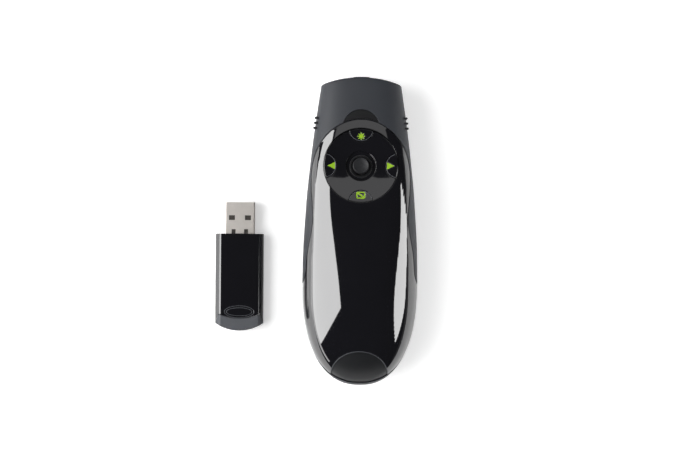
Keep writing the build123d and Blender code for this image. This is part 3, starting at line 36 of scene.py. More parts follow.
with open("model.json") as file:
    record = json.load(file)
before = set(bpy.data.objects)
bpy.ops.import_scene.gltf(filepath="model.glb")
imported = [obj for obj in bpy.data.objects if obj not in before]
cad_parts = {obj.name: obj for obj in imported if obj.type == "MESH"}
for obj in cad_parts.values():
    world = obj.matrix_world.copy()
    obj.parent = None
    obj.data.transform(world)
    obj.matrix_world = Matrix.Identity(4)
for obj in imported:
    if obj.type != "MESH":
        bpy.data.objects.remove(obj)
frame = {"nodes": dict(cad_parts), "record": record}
nodes = frame["nodes"]
bpy.ops.object.select_all(action="DESELECT")
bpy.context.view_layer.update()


# ======== shader maths ========
# The mix node's colour sockets share their names with its other sockets, so they go by number.
MIX_FIRST = 6
MIX_SECOND = 7
MIX_RESULT = 2
BEVEL_SAMPLES = 8


class Value:
    """A number or colour that comes out of a node, with the arithmetic that the materials use."""

    def __init__(self, shader, socket):
        self.shader = shader
        self.socket = socket

    def math(self, operation, *others):
        inputs = dict(enumerate((self, *others)))
        return self.shader.node("ShaderNodeMath", {"operation": operation}, inputs)

    def __add__(self, other):
        return self.math("ADD", other)

    def __mul__(self, other):
        return self.math("MULTIPLY", other)

    __radd__ = __add__
    __rmul__ = __mul__

    def above(self, edge, softness):
        """0 below an edge and 1 above it, with a soft step between."""
        settings = {"interpolation_type": "SMOOTHSTEP"}
        inputs = {"Value": self, "From Min": edge - softness, "From Max": edge + softness}
        return self.shader.node("ShaderNodeMapRange", settings, inputs)

    def spread(self, low, high):
        """The same 0 to 1 value stretched to run from low to high."""
        return self.shader.node("ShaderNodeMapRange", {}, {"Value": self, "To Min": low, "To Max": high})


class Finish:
    """One surface finish: a Principled shader and the nodes that feed it.

    The settings name the shader's sockets in small letters, such as coat_weight.
    """

    def __init__(self, name, **settings):
        self.material = bpy.data.materials.new(name)
        self.material.use_nodes = True
        self.tree = self.material.node_tree
        self.tree.nodes.clear()
        output = self.tree.nodes.new("ShaderNodeOutputMaterial")
        self.surface = self.tree.nodes.new("ShaderNodeBsdfPrincipled")
        self.tree.links.new(self.surface.outputs["BSDF"], output.inputs["Surface"])
        self.place = self.node("ShaderNodeTexCoord", {}, {}, "Object")
        self.edges = None
        for socket, value in settings.items():
            self.feed(socket.replace("_", " ").title().replace("Ior", "IOR"), value)

    def node(self, kind, settings, inputs, output=0):
        """Adds any node: its settings first, then the values or links of its sockets."""
        made = self.tree.nodes.new(kind)
        for name, value in settings.items():
            setattr(made, name, value)
        for name, value in inputs.items():
            self.join(made.inputs[name], value)
        return Value(self, made.outputs[output])

    def join(self, socket, value):
        """Links a node's value to a socket, or sets a plain number or colour on it."""
        if isinstance(value, Value):
            self.tree.links.new(value.socket, socket)
        elif isinstance(value, tuple) and len(value) == 3 and len(socket.default_value) == 4:
            socket.default_value = (*value, 1.0)
        else:
            socket.default_value = value

    def feed(self, socket, value):
        self.join(self.surface.inputs[socket], value)

    def noise(self, size, detail=3.0, roughness=0.55, stretch=(1.0, 1.0, 1.0)):
        """Soft noise whose features are about the given size in metres."""
        at = self.node("ShaderNodeMapping", {}, {"Vector": self.place, "Scale": stretch})
        inputs = {"Vector": at, "Scale": 1.0 / size, "Detail": detail, "Roughness": roughness}
        return self.node("ShaderNodeTexNoise", {}, inputs, "Fac")

    def blend(self, mask, first, second):
        """One colour where the mask is 0 and another where it is 1."""
        inputs = {"Factor": mask, MIX_FIRST: first, MIX_SECOND: second}
        return self.node("ShaderNodeMix", {"data_type": "RGBA"}, inputs, MIX_RESULT)

    def round_edges(self, radius):
        """Catches the light along sharp edges as a moulded piece's small radius does."""
        self.edges = self.node("ShaderNodeBevel", {"samples": BEVEL_SAMPLES}, {"Radius": radius})
        self.feed("Normal", self.edges)

    def bump(self, height, strength, distance):
        inputs = {"Height": height, "Strength": strength, "Distance": distance}
        if self.edges is not None:
            inputs["Normal"] = self.edges
        self.feed("Normal", self.node("ShaderNodeBump", {}, inputs))

    def coordinate(self, axis):
        return self.node("ShaderNodeSeparateXYZ", {}, {"Vector": self.place}, axis)


def shade(colour, factor):
    """A colour made darker or lighter."""
    return tuple(part * factor for part in colour)


# ======== finishes ========
EDGE_RADIUS = 0.2 * MM
GRAIN_DEPTH = 0.03 * MM
# Stretches of the noise that draw it out into lines along Y.
FINE_LINES = (1.0, 0.1, 1.0)
SHORT_LINES = (1.0, 0.3, 1.0)
HAIRLINES = (1.0, 0.06, 1.0)
SHRINK_LINES = (1.0, 0.2, 1.0)
COPPER_RUN_PITCH = 1.3 * MM
COPPER_RUN_LENGTH = 7 * MM
CELL_BAND_Y = 30 * MM


def soft_touch():
    """Rubbery paint over charcoal plastic: a fine even grain with a faint cloudiness."""
    finish = Finish("soft_touch_paint", specular_ior_level=0.55)
    finish.round_edges(radius=0.35 * MM)
    grain = finish.noise(0.16 * MM, detail=2.0)
    cloud = finish.noise(9 * MM)
    finish.feed("Base Color", finish.blend(cloud, (0.016, 0.0185, 0.0245), (0.023, 0.026, 0.033)))
    finish.feed("Roughness", cloud.spread(0.46, 0.54) + grain * 0.06)
    finish.bump(grain, strength=0.25, distance=GRAIN_DEPTH)
    return finish.material


def lacquer(name, shine, edge):
    """Polished black lacquer, with the faint haze and hairlines that polish leaves."""
    finish = Finish(name, ior=1.5, specular_ior_level=shine, coat_roughness=0.015)
    finish.round_edges(edge)
    haze = finish.noise(14 * MM, detail=2.0)
    hair = finish.noise(0.5 * MM, detail=4.0, roughness=0.6, stretch=HAIRLINES)
    finish.feed("Base Color", finish.blend(haze, (0.0035, 0.0035, 0.005), (0.005, 0.005, 0.007)))
    finish.feed("Roughness", haze.spread(0.03, 0.055) + hair.above(0.66, softness=0.05) * 0.04)
    finish.feed("Coat Weight", haze.spread(0.85, 1.0))
    return finish.material


def moulded(name, colour, rough, grain):
    """Moulded plastic with a fine spark-eroded grain of a given size."""
    finish = Finish(name)
    finish.round_edges(EDGE_RADIUS)
    texture = finish.noise(grain)
    cloud = finish.noise(6 * MM, detail=2.0)
    finish.feed("Base Color", finish.blend(cloud, shade(colour, 0.85), colour))
    finish.feed("Roughness", cloud.spread(rough - 0.04, rough + 0.04))
    finish.bump(texture, strength=0.3, distance=GRAIN_DEPTH)
    return finish.material


def rubber(name, colour, rough):
    """Matte rubber, worn a little lighter in places."""
    finish = Finish(name, specular_ior_level=0.4)
    finish.round_edges(EDGE_RADIUS)
    grain = finish.noise(0.25 * MM, detail=4.0, roughness=0.7)
    worn = finish.noise(3 * MM, detail=2.0)
    finish.feed("Base Color", finish.blend(worn, colour, shade(colour, 1.3)))
    finish.feed("Roughness", worn.spread(rough, rough + 0.1))
    finish.bump(grain, strength=0.35, distance=0.04 * MM)
    return finish.material


def icon_lime():
    """Lime plastic set into the buttons, with a faint painted glow."""
    # The faint emission is a painted glow: no light shines inside the icons.
    finish = Finish("icon_lime", emission_strength=0.05)
    cloud = finish.noise(0.8 * MM, detail=2.0)
    lime = finish.blend(cloud, (0.19, 0.36, 0.008), (0.28, 0.47, 0.012))
    finish.feed("Base Color", lime)
    finish.feed("Emission Color", lime)
    finish.feed("Roughness", cloud.spread(0.28, 0.36))
    return finish.material


def metal(name, colour, rough, stretch=FINE_LINES):
    """Drawn or rolled metal, with fine lines along Y."""
    finish = Finish(name, metallic=1.0)
    lines = finish.noise(0.35 * MM, detail=4.0, roughness=0.6, stretch=stretch)
    dull = finish.noise(4 * MM)
    finish.feed("Base Color", finish.blend(dull, shade(colour, 0.8), colour))
    finish.feed("Roughness", lines.spread(rough - 0.06, rough + 0.08))
    finish.bump(lines, strength=0.2, distance=0.02 * MM)
    return finish.material


def clear_plastic(name, tint):
    """Clear plastic or glass with a faint haze."""
    finish = Finish(name, transmission_weight=0.9, ior=1.49)
    haze = finish.noise(2 * MM, detail=2.0)
    finish.feed("Base Color", finish.blend(haze, tint, (1.0, 1.0, 1.0)))
    finish.feed("Roughness", haze.spread(0.05, 0.12))
    return finish.material


def circuit_board():
    """Green solder mask over copper runs."""
    finish = Finish("solder_mask", coat_weight=0.4)
    across = finish.coordinate("X") * (1 / COPPER_RUN_PITCH)
    along = finish.coordinate("Y") * (1 / COPPER_RUN_LENGTH) + finish.noise(3 * MM)
    runs = across.math("FRACT").above(0.78, softness=0.03)
    breaks = along.math("FRACT").above(0.3, softness=0.02)
    copper = runs * breaks
    finish.feed("Base Color", finish.blend(copper, (0.01, 0.09, 0.035), (0.03, 0.2, 0.07)))
    finish.feed("Roughness", copper.spread(0.35, 0.28))
    finish.bump(copper, strength=0.4, distance=GRAIN_DEPTH)
    return finish.material


def cell_sleeve():
    """A battery's printed wrap: a dark body with a copper-coloured end."""
    finish = Finish("cell_sleeve", metallic=0.6)
    band = finish.coordinate("Y").above(CELL_BAND_Y, softness=0.1 * MM)
    shrink = finish.noise(1.5 * MM, roughness=0.5, stretch=SHRINK_LINES)
    finish.feed("Base Color", finish.blend(band, (0.05, 0.05, 0.055), (0.5, 0.3, 0.16)))
    finish.feed("Roughness", shrink.spread(0.25, 0.35))
    finish.bump(shrink, strength=0.15, distance=GRAIN_DEPTH)
    return finish.material


finishes = {
    "soft_touch": soft_touch(),
    "piano_black": lacquer("piano_black", shine=1.0, edge=0.3 * MM),
    "button_black": lacquer("button_lacquer", shine=0.9, edge=0.6 * MM),
    "satin_black": moulded("satin_black", (0.008, 0.0085, 0.01), rough=0.36, grain=0.2 * MM),
    "smoked_window": moulded("smoked_window", (0.004, 0.0042, 0.005), rough=0.32, grain=0.3 * MM),
    "clear_plastic": clear_plastic("light_pipe_acrylic", tint=(0.92, 0.95, 0.96)),
    "lens_glass": clear_plastic("lens_glass", tint=(0.8, 0.95, 0.85)),
    "grip_rubber": rubber("grip_rubber", (0.012, 0.012, 0.014), rough=0.62),
    "icon_green": icon_lime(),
    "joystick_grey": rubber("joystick_rubber", (0.008, 0.0085, 0.01), rough=0.4),
    "cap_grey": moulded("receiver_cap_plastic", (0.06, 0.064, 0.073), rough=0.5, grain=0.25 * MM),
    "door_black": moulded("door_plastic", (0.028, 0.03, 0.034), rough=0.55, grain=0.25 * MM),
    "plunger_white": moulded("plunger_nylon", (0.72, 0.72, 0.68), rough=0.45, grain=0.3 * MM),
    "stem_white": moulded("stem_nylon", (0.66, 0.66, 0.62), rough=0.42, grain=0.3 * MM),
    "spring_steel": metal("spring_steel", (0.62, 0.61, 0.6), rough=0.3),
    "plug_metal": metal("plug_steel", (0.72, 0.68, 0.64), rough=0.42, stretch=SHORT_LINES),
    "plug_core": moulded("plug_core_plastic", (0.03, 0.024, 0.02), rough=0.45, grain=0.3 * MM),
    "gold_contact": metal("gold_contact", (0.83, 0.6, 0.25), rough=0.25),
    "board_green": circuit_board(),
    "chip_black": moulded("chip_epoxy", (0.02, 0.02, 0.021), rough=0.6, grain=0.15 * MM),
    "barrel_brass": metal("barrel_brass", (0.72, 0.53, 0.26), rough=0.28),
    "cell_sleeve": cell_sleeve(),
    "ribbon_amber": moulded("ribbon_film", (0.5, 0.22, 0.035), rough=0.35, grain=1.2 * MM),
}


def dress(piece, slot):
    """Gives a piece the finish of one of the record's material slots."""
    piece.data.materials.clear()
    piece.data.materials.append(finishes[slot])


for part in frame["record"]["subparts"]:
    dress(nodes[part["node"]], part["material_slot"])


# ======== the clicker's overall form, in millimetres ========
NOSE_Y = 61.0
TAIL_Y = -61.1
WIDEST_Y = -21.5
HALF_WIDTH = 22.9
NOSE_HALF_WIDTH = 15.4
NOSE_TAPER = 0.16
CROWN_Y = -5.0
CROWN_Z = 28.0
NOSE_TOP_Z = 22.0
NOSE_DROP = 0.12
BELT_Z = 12.0
PLAN_FULLNESS = 2.3
SIDE_FULLNESS = 2.4
TAIL_CROWN = 0.66
NOSE_CROWN = 0.84
CROWN_BLEND_FROM_Y = -30.0
CROWN_BLEND_TO_Y = 20.0
HALVINGS = 30
NORMAL_STEP = 0.05


def smooth_step(t):
    """From 0 to 1 with level ends."""
    return t * t * (3 - 2 * t)


def ease(start, end, start_slope, end_slope, length, t):
    """A cubic from start to end with the given slopes at its ends."""
    flat = start * (2 * t**3 - 3 * t**2 + 1) + end * (3 * t**2 - 2 * t**3)
    lean = start_slope * (t**3 - 2 * t**2 + t) + end_slope * (t**3 - t**2)
    return flat + lean * length


def rounded(t, fullness):
    """A rounded end that starts at 1 and falls to 0 at t = 1."""
    return max(0.0, 1.0 - t**fullness) ** (1.0 / fullness)


def half_width(y):
    """Half the form's width at a place along it."""
    if y < WIDEST_Y:
        return HALF_WIDTH * rounded((WIDEST_Y - y) / (WIDEST_Y - TAIL_Y), PLAN_FULLNESS)
    length = NOSE_Y - WIDEST_Y
    return ease(HALF_WIDTH, NOSE_HALF_WIDTH, 0, -NOSE_TAPER, length, (y - WIDEST_Y) / length)


def top_rise(y):
    """Height of the form's ridge over its belt."""
    if y < CROWN_Y:
        return (CROWN_Z - BELT_Z) * rounded((CROWN_Y - y) / (CROWN_Y - TAIL_Y), SIDE_FULLNESS)
    length = NOSE_Y - CROWN_Y
    return ease(CROWN_Z, NOSE_TOP_Z, 0, -NOSE_DROP, length, (y - CROWN_Y) / length) - BELT_Z


def crown_handle(y):
    """How square the top of the cross-section is."""
    span = CROWN_BLEND_TO_Y - CROWN_BLEND_FROM_Y
    t = min(1.0, max(0.0, (y - CROWN_BLEND_FROM_Y) / span))
    return TAIL_CROWN + (NOSE_CROWN - TAIL_CROWN) * smooth_step(t)


def form_height(x, y):
    """Height of the outer form over a place in plan, found along the cross-section's curve."""
    half, handle = half_width(y), crown_handle(y)
    near, far = 0.0, 1.0
    for _ in range(HALVINGS):
        t = (near + far) / 2
        back = 1 - t
        across = half * (back**3 + 3 * back**2 * t + 3 * back * t**2 * handle)
        if across > abs(x):
            near = t
        else:
            far = t
    return BELT_Z + top_rise(y) * (3 * back**2 * t * handle + 3 * back * t**2 + t**3)


def form_normal(x, y):
    """Which way the outer form faces at a place in plan."""
    step = NORMAL_STEP
    across = (form_height(x + step, y) - form_height(x - step, y)) / (2 * step)
    along = (form_height(x, y + step) - form_height(x, y - step)) / (2 * step)
    return Vector((-across, -along, 1.0)).normalized()


# ======== the gloss cover's polished skin ========
MERGE_REACH = 0.002 * MM
LONGEST_EDGE = 1.2 * MM
DIVIDE_ROUNDS = 6
SHARP_TURN = math.radians(35)
SMOOTH_TURN = math.radians(30)
# Places taken along each sharp edge, as shares of its length.
EDGE_SHARES = (0.0, 0.25, 0.5, 0.75)
# How far, in millimetres, a piece's outer skin may lie from the form.
SKIN_REACH = 0.15
# Nearer the outline than this, in millimetres, the way to it is unsure, so the lean fades out.
LEAN_REACH = 0.05
# A face belongs to the skin if the cosine between it and the form is more than this.
SKIN_FACING = 0.7
# The cover's roll, and the disc and inlay that its outer outline is clear of, in millimetres.
COVER_ROLL = 3.4
COVER_ROLL_DROP = 0.14
DISC_Y = 25.9
DISC_HOLE = 15.5
INLAY_FRONT_Y = -44.0


def merged_copy(node, name):
    """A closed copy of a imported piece, in its place, ready to be worked on."""
    copy = nodes[node].copy()
    copy.data = nodes[node].data.copy()
    copy.name = name
    bpy.context.scene.collection.objects.link(copy)
    bpy.ops.object.select_all(action="DESELECT")
    bpy.context.view_layer.objects.active = copy
    copy.select_set(True)
    bpy.ops.object.mode_set(mode="EDIT")
    bpy.ops.mesh.select_all(action="SELECT")
    bpy.ops.mesh.remove_doubles(threshold=MERGE_REACH)
    bpy.ops.object.mode_set(mode="OBJECT")
    bpy.ops.mesh.customdata_custom_splitnormals_clear()
    return copy


def refine(piece, longest):
    """Divides the long edges of a piece until none is much longer than a given length."""
    bpy.ops.object.mode_set(mode="EDIT")
    bpy.ops.mesh.select_mode(type="EDGE")
    mesh = bmesh.from_edit_mesh(piece.data)
    for _ in range(DIVIDE_ROUNDS):
        long_edges = [edge for edge in mesh.edges if edge.calc_length() > longest]
        if not long_edges:
            break
        for edge in mesh.edges:
            edge.select_set(False)
        for edge in long_edges:
            edge.select_set(True)
        bmesh.update_edit_mesh(piece.data)
        bpy.ops.mesh.subdivide(number_cuts=1)
        bpy.ops.mesh.select_all(action="SELECT")
        bpy.ops.mesh.quads_convert_to_tris()
        mesh = bmesh.from_edit_mesh(piece.data)
    bpy.ops.object.mode_set(mode="OBJECT")


def outline_finder(piece, keep):
    """Finds the nearest place in plan on the sharp outline of a piece, among the places to keep."""
    bpy.ops.object.mode_set(mode="EDIT")
    bpy.ops.mesh.select_mode(type="EDGE")
    bpy.ops.mesh.select_all(action="DESELECT")
    bpy.ops.mesh.edges_select_sharp(sharpness=SHARP_TURN)
    bpy.ops.object.mode_set(mode="OBJECT")
    places = []
    for edge in piece.data.edges:
        if not edge.select:
            continue
        first, last = (piece.data.vertices[i].co / MM for i in edge.vertices)
        for share in EDGE_SHARES:
            place = first.lerp(last, share)
            if abs(place.z - form_height(place.x, place.y)) < SKIN_REACH and keep(place):
                places.append((place.x, place.y, 0.0))
    tree = KDTree(len(places))
    for index, place in enumerate(places):
        tree.insert(place, index)
    tree.balance()
    return tree


def polish(piece, outline, roll, drop):
    """Lays the outer skin of a piece on the form's own smooth surface, rolled down near its outline."""
    mesh = piece.data
    skin = {}
    for vertex in mesh.vertices:
        x, y, z = (part / MM for part in vertex.co)
        height = form_height(x, y)
        if abs(z - height) < SKIN_REACH:
            near, _, distance = outline.find((x, y, 0.0))
            share = max(0.0, 1.0 - distance / roll)
            outward = (near - Vector((x, y, 0.0))) / max(distance, LEAN_REACH)
            lean = outward * min(1.0, distance / LEAN_REACH) * (2 * drop / roll * share)
            skin[vertex.index] = (form_normal(x, y) + lean).normalized()
            vertex.co.z = (height - drop * share**2) * MM
    bpy.ops.object.shade_smooth_by_angle(angle=SMOOTH_TURN)
    mesh.update()
    normals = [Vector(corner.vector) for corner in mesh.corner_normals]
    for face in mesh.polygons:
        for corner in face.loop_indices:
            vertex = mesh.loops[corner].vertex_index
            if vertex in skin and face.normal.dot(skin[vertex]) > SKIN_FACING:
                normals[corner] = skin[vertex]
    mesh.normals_split_custom_set(normals)


def on_cover_outline(place):
    """Whether a place is on the cover's outer outline, clear of the disc and the tail inlay."""
    from_disc = math.hypot(place.x, place.y - DISC_Y)
    return from_disc > DISC_HOLE and place.y > INLAY_FRONT_Y


gloss_skin = merged_copy("top_cover", "cover_gloss_skin")
refine(gloss_skin, LONGEST_EDGE)
polish(gloss_skin, outline_finder(gloss_skin, on_cover_outline), COVER_ROLL, COVER_ROLL_DROP)
dress(gloss_skin, "piano_black")
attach(gloss_skin, "root")
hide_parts("top_cover")
gloss_skin.select_set(False)


# ======== hair-thin grey beads along edges: painted highlight lines where the edges catch the light ===
BEAD_SIDES = 8
BEAD_STEP = 0.4
BEAD_SMOOTH_TURN = math.radians(50)


def highlight_bead(name, edge_line, length, radius, slot, body):
    """A quad tube with closed ends along a line, whose lighter grey paints a highlight line there:
    edge_line(share) gives a middle, a side and an up.

    It starts as a straight upright tube, one millimetre for each step, and is then laid along the line.
    """
    steps = round(length / BEAD_STEP)
    bpy.ops.mesh.primitive_cylinder_add(
        vertices=BEAD_SIDES, radius=radius * MM, depth=steps * MM, end_fill_type="NGON"
    )
    bead = bpy.context.object
    bead.name = name
    bpy.ops.object.mode_set(mode="EDIT")
    mesh = bmesh.from_edit_mesh(bead.data)
    # Only the edges that run along the tube climb at all.
    for edge in mesh.edges:
        climb = abs(edge.verts[0].co.z - edge.verts[1].co.z)
        edge.select_set(climb > MM / 2)
    bmesh.update_edit_mesh(bead.data)
    bpy.ops.mesh.subdivide(number_cuts=steps - 1)
    mesh = bmesh.from_edit_mesh(bead.data)
    for vertex in mesh.verts:
        turn = math.atan2(vertex.co.y, vertex.co.x)
        share = (vertex.co.z / MM + steps / 2) / steps
        middle, side, up = edge_line(share)
        vertex.co = (middle + radius * (side * math.cos(turn) + up * math.sin(turn))) * MM
    bpy.ops.mesh.select_all(action="SELECT")
    bmesh.update_edit_mesh(bead.data)
    bpy.ops.mesh.normals_make_consistent(inside=False)
    bpy.ops.object.mode_set(mode="OBJECT")
    bpy.ops.object.shade_smooth_by_angle(angle=BEAD_SMOOTH_TURN)
    dress(bead, slot)
    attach(bead, body)
    bead.select_set(False)


INLAY_Y = -56.8
INLAY_HALF_WIDTH = 11.2
INLAY_REACH = 9.3
INLAY_BEAD_GAP = 0.1
INLAY_BEAD_SINK = 0.1
INLAY_BEAD_RADIUS = 0.16
INLAY_BEAD_LENGTH = 32.0
# Where the bead starts on the inlay's half turn, and how much of that half turn it follows.
INLAY_BEAD_START = 0.02
INLAY_BEAD_SHARE = 0.96


def inlay_edge(share):
    """Along the arched edge of the tail inlay, from its right end over the top to its left."""
    turn = math.pi * (INLAY_BEAD_START + INLAY_BEAD_SHARE * share)
    x = (INLAY_HALF_WIDTH + INLAY_BEAD_GAP) * math.cos(turn)
    y = INLAY_Y + (INLAY_REACH + INLAY_BEAD_GAP) * math.sin(turn)
    up = form_normal(x, y)
    outward = Vector((math.cos(turn) / INLAY_HALF_WIDTH, math.sin(turn) / INLAY_REACH, 0.0))
    side = (outward - up * outward.dot(up)).normalized()
    return Vector((x, y, form_height(x, y))) - up * INLAY_BEAD_SINK, side, up


# A grey bead paints the thin highlight line along the tail inlay's arched edge.
highlight_bead("tail_inlay_highlight_bead", inlay_edge, INLAY_BEAD_LENGTH, INLAY_BEAD_RADIUS, "cap_grey", "root")

RECEIVER_X = -48.1
RECEIVER_TOP_Z = 8.0
THUMB_OVAL_Y = -32.5
THUMB_OVAL_HALF_LENGTH = 5.9
THUMB_OVAL_HALF_BREADTH = 2.4
THUMB_RING_WIDTH = 0.8
THUMB_BEAD_RADIUS = 0.12
THUMB_BEAD_SINK = 0.06


def oval_edge(half_length, half_breadth):
    """The line once round a rim of the oval thumb groove on the receiver."""

    def edge_line(share):
        turn = 2 * math.pi * share
        x = RECEIVER_X + half_length * math.cos(turn)
        y = THUMB_OVAL_Y + half_breadth * math.sin(turn)
        side = Vector((math.cos(turn) / half_length, math.sin(turn) / half_breadth, 0.0)).normalized()
        return Vector((x, y, RECEIVER_TOP_Z - THUMB_BEAD_SINK)), side, Vector((0.0, 0.0, 1.0))

    return edge_line


# Grey beads on both rims of the thumb groove paint its highlight lines.
for rim, inset in (("outer", 0.0), ("inner", THUMB_RING_WIDTH)):
    half_length = THUMB_OVAL_HALF_LENGTH - inset
    half_breadth = THUMB_OVAL_HALF_BREADTH - inset
    around = math.pi * (half_length + half_breadth)
    line = oval_edge(half_length, half_breadth)
    highlight_bead(f"thumb_{rim}_bead", line, around, THUMB_BEAD_RADIUS, "cap_grey", "receiver")


# ======== the control disc's own plane, and the beads of painted highlight round its buttons ===
DISC_RADIUS = 14.6
DISC_SINK = 1.6
DISH_DEPTH = 0.9
SLOPE_STEP = 0.5
BUTTON_RADIUS = 4.8
BUTTON_PROUD = 0.45
BUTTON_BEAD_RADIUS = 0.13
BUTTON_BEAD_SINK = 0.03
# How far, in radians, a button's bead stops short of the disc's rim.
BUTTON_TURN_MARGIN = 0.06

disc_height = top_rise(DISC_Y) + BELT_Z - DISC_SINK
disc_slope = (top_rise(DISC_Y + SLOPE_STEP) - top_rise(DISC_Y - SLOPE_STEP)) / (2 * SLOPE_STEP)
disc_up = Vector((0.0, -disc_slope, 1.0)).normalized()
disc_along = Vector((0.0, 1.0, disc_slope)).normalized()
disc_across = Vector((1.0, 0.0, 0.0))
dish_ball_radius = (DISC_RADIUS**2 + DISH_DEPTH**2) / (2 * DISH_DEPTH)


def on_disc(x, y, height):
    """A place on the control disc: across, along and above the plane of its rim."""
    return Vector((0.0, DISC_Y, disc_height)) + disc_across * x + disc_along * y + disc_up * height


def dish_height(x, y):
    """How far the dish lies from the plane of its rim."""
    return dish_ball_radius - DISH_DEPTH - math.sqrt(dish_ball_radius**2 - x**2 - y**2)


# Half the turn over which a button's round edge stays inside the disc.
button_turn = math.acos(BUTTON_RADIUS / (2 * DISC_RADIUS)) - BUTTON_TURN_MARGIN
button_arc = 2 * button_turn * BUTTON_RADIUS


def button_edge(toward):
    """The line along the top of the round edge of the button that lies in a given direction."""

    def edge_line(share):
        turn = toward + math.pi + button_turn * (2 * share - 1)
        reach = BUTTON_RADIUS - BUTTON_BEAD_RADIUS
        x = DISC_RADIUS * math.cos(toward) + reach * math.cos(turn)
        y = DISC_RADIUS * math.sin(toward) + reach * math.sin(turn)
        height = dish_height(x, y) + BUTTON_PROUD - BUTTON_BEAD_SINK
        side = disc_across * math.cos(turn) + disc_along * math.sin(turn)
        return on_disc(x, y, height), side, disc_up

    return edge_line


# One button a quarter turn, starting at the right.
# A grey bead paints a thin highlight line along each button's round edge.
for quarter_turns, key in enumerate(("next", "laser", "previous", "screen")):
    line = button_edge(quarter_turns * math.pi / 2)
    highlight_bead(f"{key}_button_highlight_bead", line, button_arc, BUTTON_BEAD_RADIUS, "cap_grey", f"{key}_key")


# ======== camera ========
# A pixel is this wide at the middle of the clicker's thickness.
PIXEL = 0.3975 * MM
MIDDLE_HEIGHT = 14 * MM
PIXELS_ACROSS = 680
VIEW_HEIGHT = 1.3
MIDDLE_OF_VIEW = Vector((-8.07 * MM, 2.68 * MM))
VIEW_ROLL = math.radians(0.45)
SENSOR = 36.0
FAR_CLIP = 20.0

camera = bpy.data.objects.new("camera", bpy.data.cameras.new("camera"))
bpy.context.scene.collection.objects.link(camera)
camera.location = (*MIDDLE_OF_VIEW, VIEW_HEIGHT)
camera.rotation_euler = (0.0, 0.0, VIEW_ROLL)
camera.data.sensor_width = SENSOR
camera.data.lens = SENSOR * (VIEW_HEIGHT - MIDDLE_HEIGHT) / (PIXELS_ACROSS * PIXEL)
camera.data.clip_end = FAR_CLIP
bpy.context.scene.camera = camera


# ======== lamps ========
# Watts for each square metre of a wall lamp at a brightness of 1.
LAMP_FACTOR = 4.0
LAMP_DISTANCE = 0.62
LEFT = -1
RIGHT = 1
LEFT_ELEVATION = 40.0
LEFT_TURN = 17.0
LEAF_ELEVATION = 19.5
RIGHT_APRON_ELEVATION = 4.0
WALL_BRIGHTNESS = 4.0
LEFT_APRON_BRIGHTNESS = 2.0
RIGHT_APRON_BRIGHTNESS = 0.1


def area_lamp(name, size, watts):
    """A rectangular lamp that is still to be placed."""
    lamp = bpy.data.objects.new(name, bpy.data.lights.new(name, "AREA"))
    bpy.context.scene.collection.objects.link(lamp)
    lamp.data.shape = "RECTANGLE"
    lamp.data.size, lamp.data.size_y = size
    lamp.data.energy = watts
    return lamp


def soft_box(name, at, aim, size, watts, seen_in_gloss=True):
    """A rectangular lamp that faces a point."""
    lamp = area_lamp(name, size, watts)
    lamp.location = at
    lamp.rotation_euler = (Vector(aim) - Vector(at)).to_track_quat("-Z", "Y").to_euler()
    lamp.visible_glossy = seen_in_gloss


def wall_lamp(name, toward, elevation, size, shift, turn, brightness):
    """A rectangular lamp on the left or right, slid in its own plane and turned in it.

    It faces down a line that rises from the object at its elevation. Angles are in degrees. Its size
    and shift are shares of its distance, along the wall and up it.
    """
    rise = math.radians(elevation)
    lean = toward * math.radians(turn)
    out = Vector((toward * math.cos(rise), 0.0, math.sin(rise)))
    up = Vector((-toward * math.sin(rise), 0.0, math.cos(rise)))
    side = Vector((0.0, toward, 0.0))
    across = side * math.cos(lean) - up * math.sin(lean)
    upward = up * math.cos(lean) + side * math.sin(lean)
    at = LAMP_DISTANCE * (out + Vector((0.0, shift[0], 0.0)) + up * shift[1])
    width, height = (LAMP_DISTANCE * share for share in size)
    lamp = area_lamp(name, (width, height), LAMP_FACTOR * width * height * brightness)
    # A lamp shines along its own -Z, so its Z points away from the object.
    sheet = Matrix((across, upward, out)).transposed()
    lamp.matrix_world = Matrix.Translation(at) @ sheet.to_4x4()


# The right wall's light is a leaf: pointed at both ends, hanging low near the front, high near the rear.
# Its front is toward the nose. Heights and lengths are shares of the lamps' distance, and each place
# along it is a share of its length.
LEAF_FRONT = 0.21
LEAF_LENGTH = 0.79
LEAF_FRONT_TOP = 0.34
LEAF_HUMP_FROM = 0.2
LEAF_HUMP_AT = 0.57
LEAF_HUMP_TOP = 0.52
LEAF_REAR_TOP = 0.18
LEAF_FRONT_BOTTOM = 0.29
LEAF_LOWEST_AT = 0.25
LEAF_LOWEST = -0.33
LEAF_REAR_BOTTOM = 0.15
LEAF_BELLY = 0.6
LEAF_STRIPS = 20


def leaf_top(share):
    """The leaf's upper edge: level, then up over a hump, then down to the rear point."""
    if share > LEAF_HUMP_AT:
        past = (share - LEAF_HUMP_AT) / (1 - LEAF_HUMP_AT)
        return LEAF_HUMP_TOP - (LEAF_HUMP_TOP - LEAF_REAR_TOP) * past**2
    climb = max(0.0, (share - LEAF_HUMP_FROM) / (LEAF_HUMP_AT - LEAF_HUMP_FROM))
    return LEAF_FRONT_TOP + (LEAF_HUMP_TOP - LEAF_FRONT_TOP) * smooth_step(climb)


def leaf_bottom(share):
    """The leaf's lower edge: straight down to its lowest place, then up in a belly to the rear point."""
    if share < LEAF_LOWEST_AT:
        return LEAF_FRONT_BOTTOM + (LEAF_LOWEST - LEAF_FRONT_BOTTOM) * share / LEAF_LOWEST_AT
    past = (share - LEAF_LOWEST_AT) / (1 - LEAF_LOWEST_AT)
    return LEAF_LOWEST + (LEAF_REAR_BOTTOM - LEAF_LOWEST) * past**LEAF_BELLY


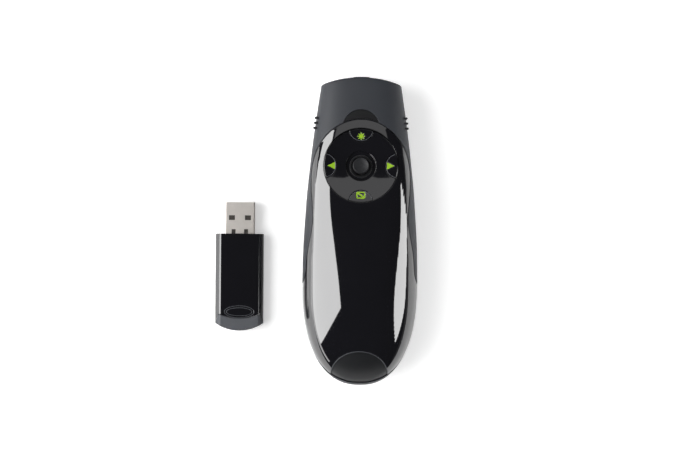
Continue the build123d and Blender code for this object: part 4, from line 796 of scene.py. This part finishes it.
wall_lamp("left_panel", LEFT, LEFT_ELEVATION, (0.9, 1.19), (-0.054, -0.06), LEFT_TURN, WALL_BRIGHTNESS)
wall_lamp(
    "left_apron", LEFT, LEFT_ELEVATION, (1.9, 0.2), (-0.257, -0.725), LEFT_TURN, LEFT_APRON_BRIGHTNESS
)
for strip in range(LEAF_STRIPS):
    share = (strip + 0.5) / LEAF_STRIPS
    bottom, top = leaf_bottom(share), leaf_top(share)
    size = (LEAF_LENGTH / LEAF_STRIPS, top - bottom)
    shift = (LEAF_FRONT - LEAF_LENGTH * share, (bottom + top) / 2)
    wall_lamp(f"right_leaf_{strip}", RIGHT, LEAF_ELEVATION, size, shift, 0.0, WALL_BRIGHTNESS)
wall_lamp(
    "right_apron", RIGHT, RIGHT_APRON_ELEVATION, (1.9, 0.18), (0.0, 0.0), 0.0, RIGHT_APRON_BRIGHTNESS
)
soft_box("back_panel", at=(0, 0.74, 1.2), aim=(0, 0.02, 0.02), size=(1.1, 0.7), watts=1.25)
soft_box("front_panel", at=(0, -0.62, 0.16), aim=(0, -0.05, 0.01), size=(0.7, 0.2), watts=0.5)
soft_box("overhead_fill", at=(0, 0, 1.6), aim=(0, 0, 0), size=(1.2, 1.2), watts=3.0, seen_in_gloss=False)


# ======== floor and surroundings ========
FLOOR_SIZE = 8.0
# The floor lies a hair under the solids, so that their flat backs don't share its plane.
FLOOR_DROP = 0.05 * MM
# How much the paper glows to the camera, and in what mirrors it.
CAMERA_LIFT = 0.4
GLOSS_LIFT = 0.15
WORLD_STRENGTH = 0.03


def floor_paper():
    """White paper that the camera and gloss see a little brighter than the lamps leave it."""
    finish = Finish("floor_paper", roughness=0.9, specular_ior_level=0.0)
    fibre = finish.noise(2 * MM, detail=2.0)
    finish.feed("Base Color", finish.blend(fibre, (0.9, 0.9, 0.9), (0.92, 0.92, 0.92)))
    seen = finish.node("ShaderNodeLightPath", {}, {}, "Is Camera Ray")
    glossy = finish.node("ShaderNodeLightPath", {}, {}, "Is Glossy Ray")
    through = finish.node("ShaderNodeLightPath", {}, {}, "Is Transmission Ray")
    finish.feed("Emission Color", (1.0, 1.0, 1.0))
    mirrored = (glossy + through).math("MINIMUM", 1.0)
    finish.feed("Emission Strength", seen * CAMERA_LIFT + mirrored * GLOSS_LIFT)
    return finish.material


bpy.ops.mesh.primitive_plane_add(size=FLOOR_SIZE, location=(0, 0, -FLOOR_DROP))
floor = bpy.context.object
floor.name = "floor"
floor.data.materials.append(floor_paper())
floor.select_set(False)

world = bpy.data.worlds.new("studio")
world.use_nodes = True
bpy.context.scene.world = world
background = world.node_tree.nodes["Background"]
background.inputs["Color"].default_value = (1, 1, 1, 1)
background.inputs["Strength"].default_value = WORLD_STRENGTH

bpy.context.scene.view_settings.view_transform = "Standard"
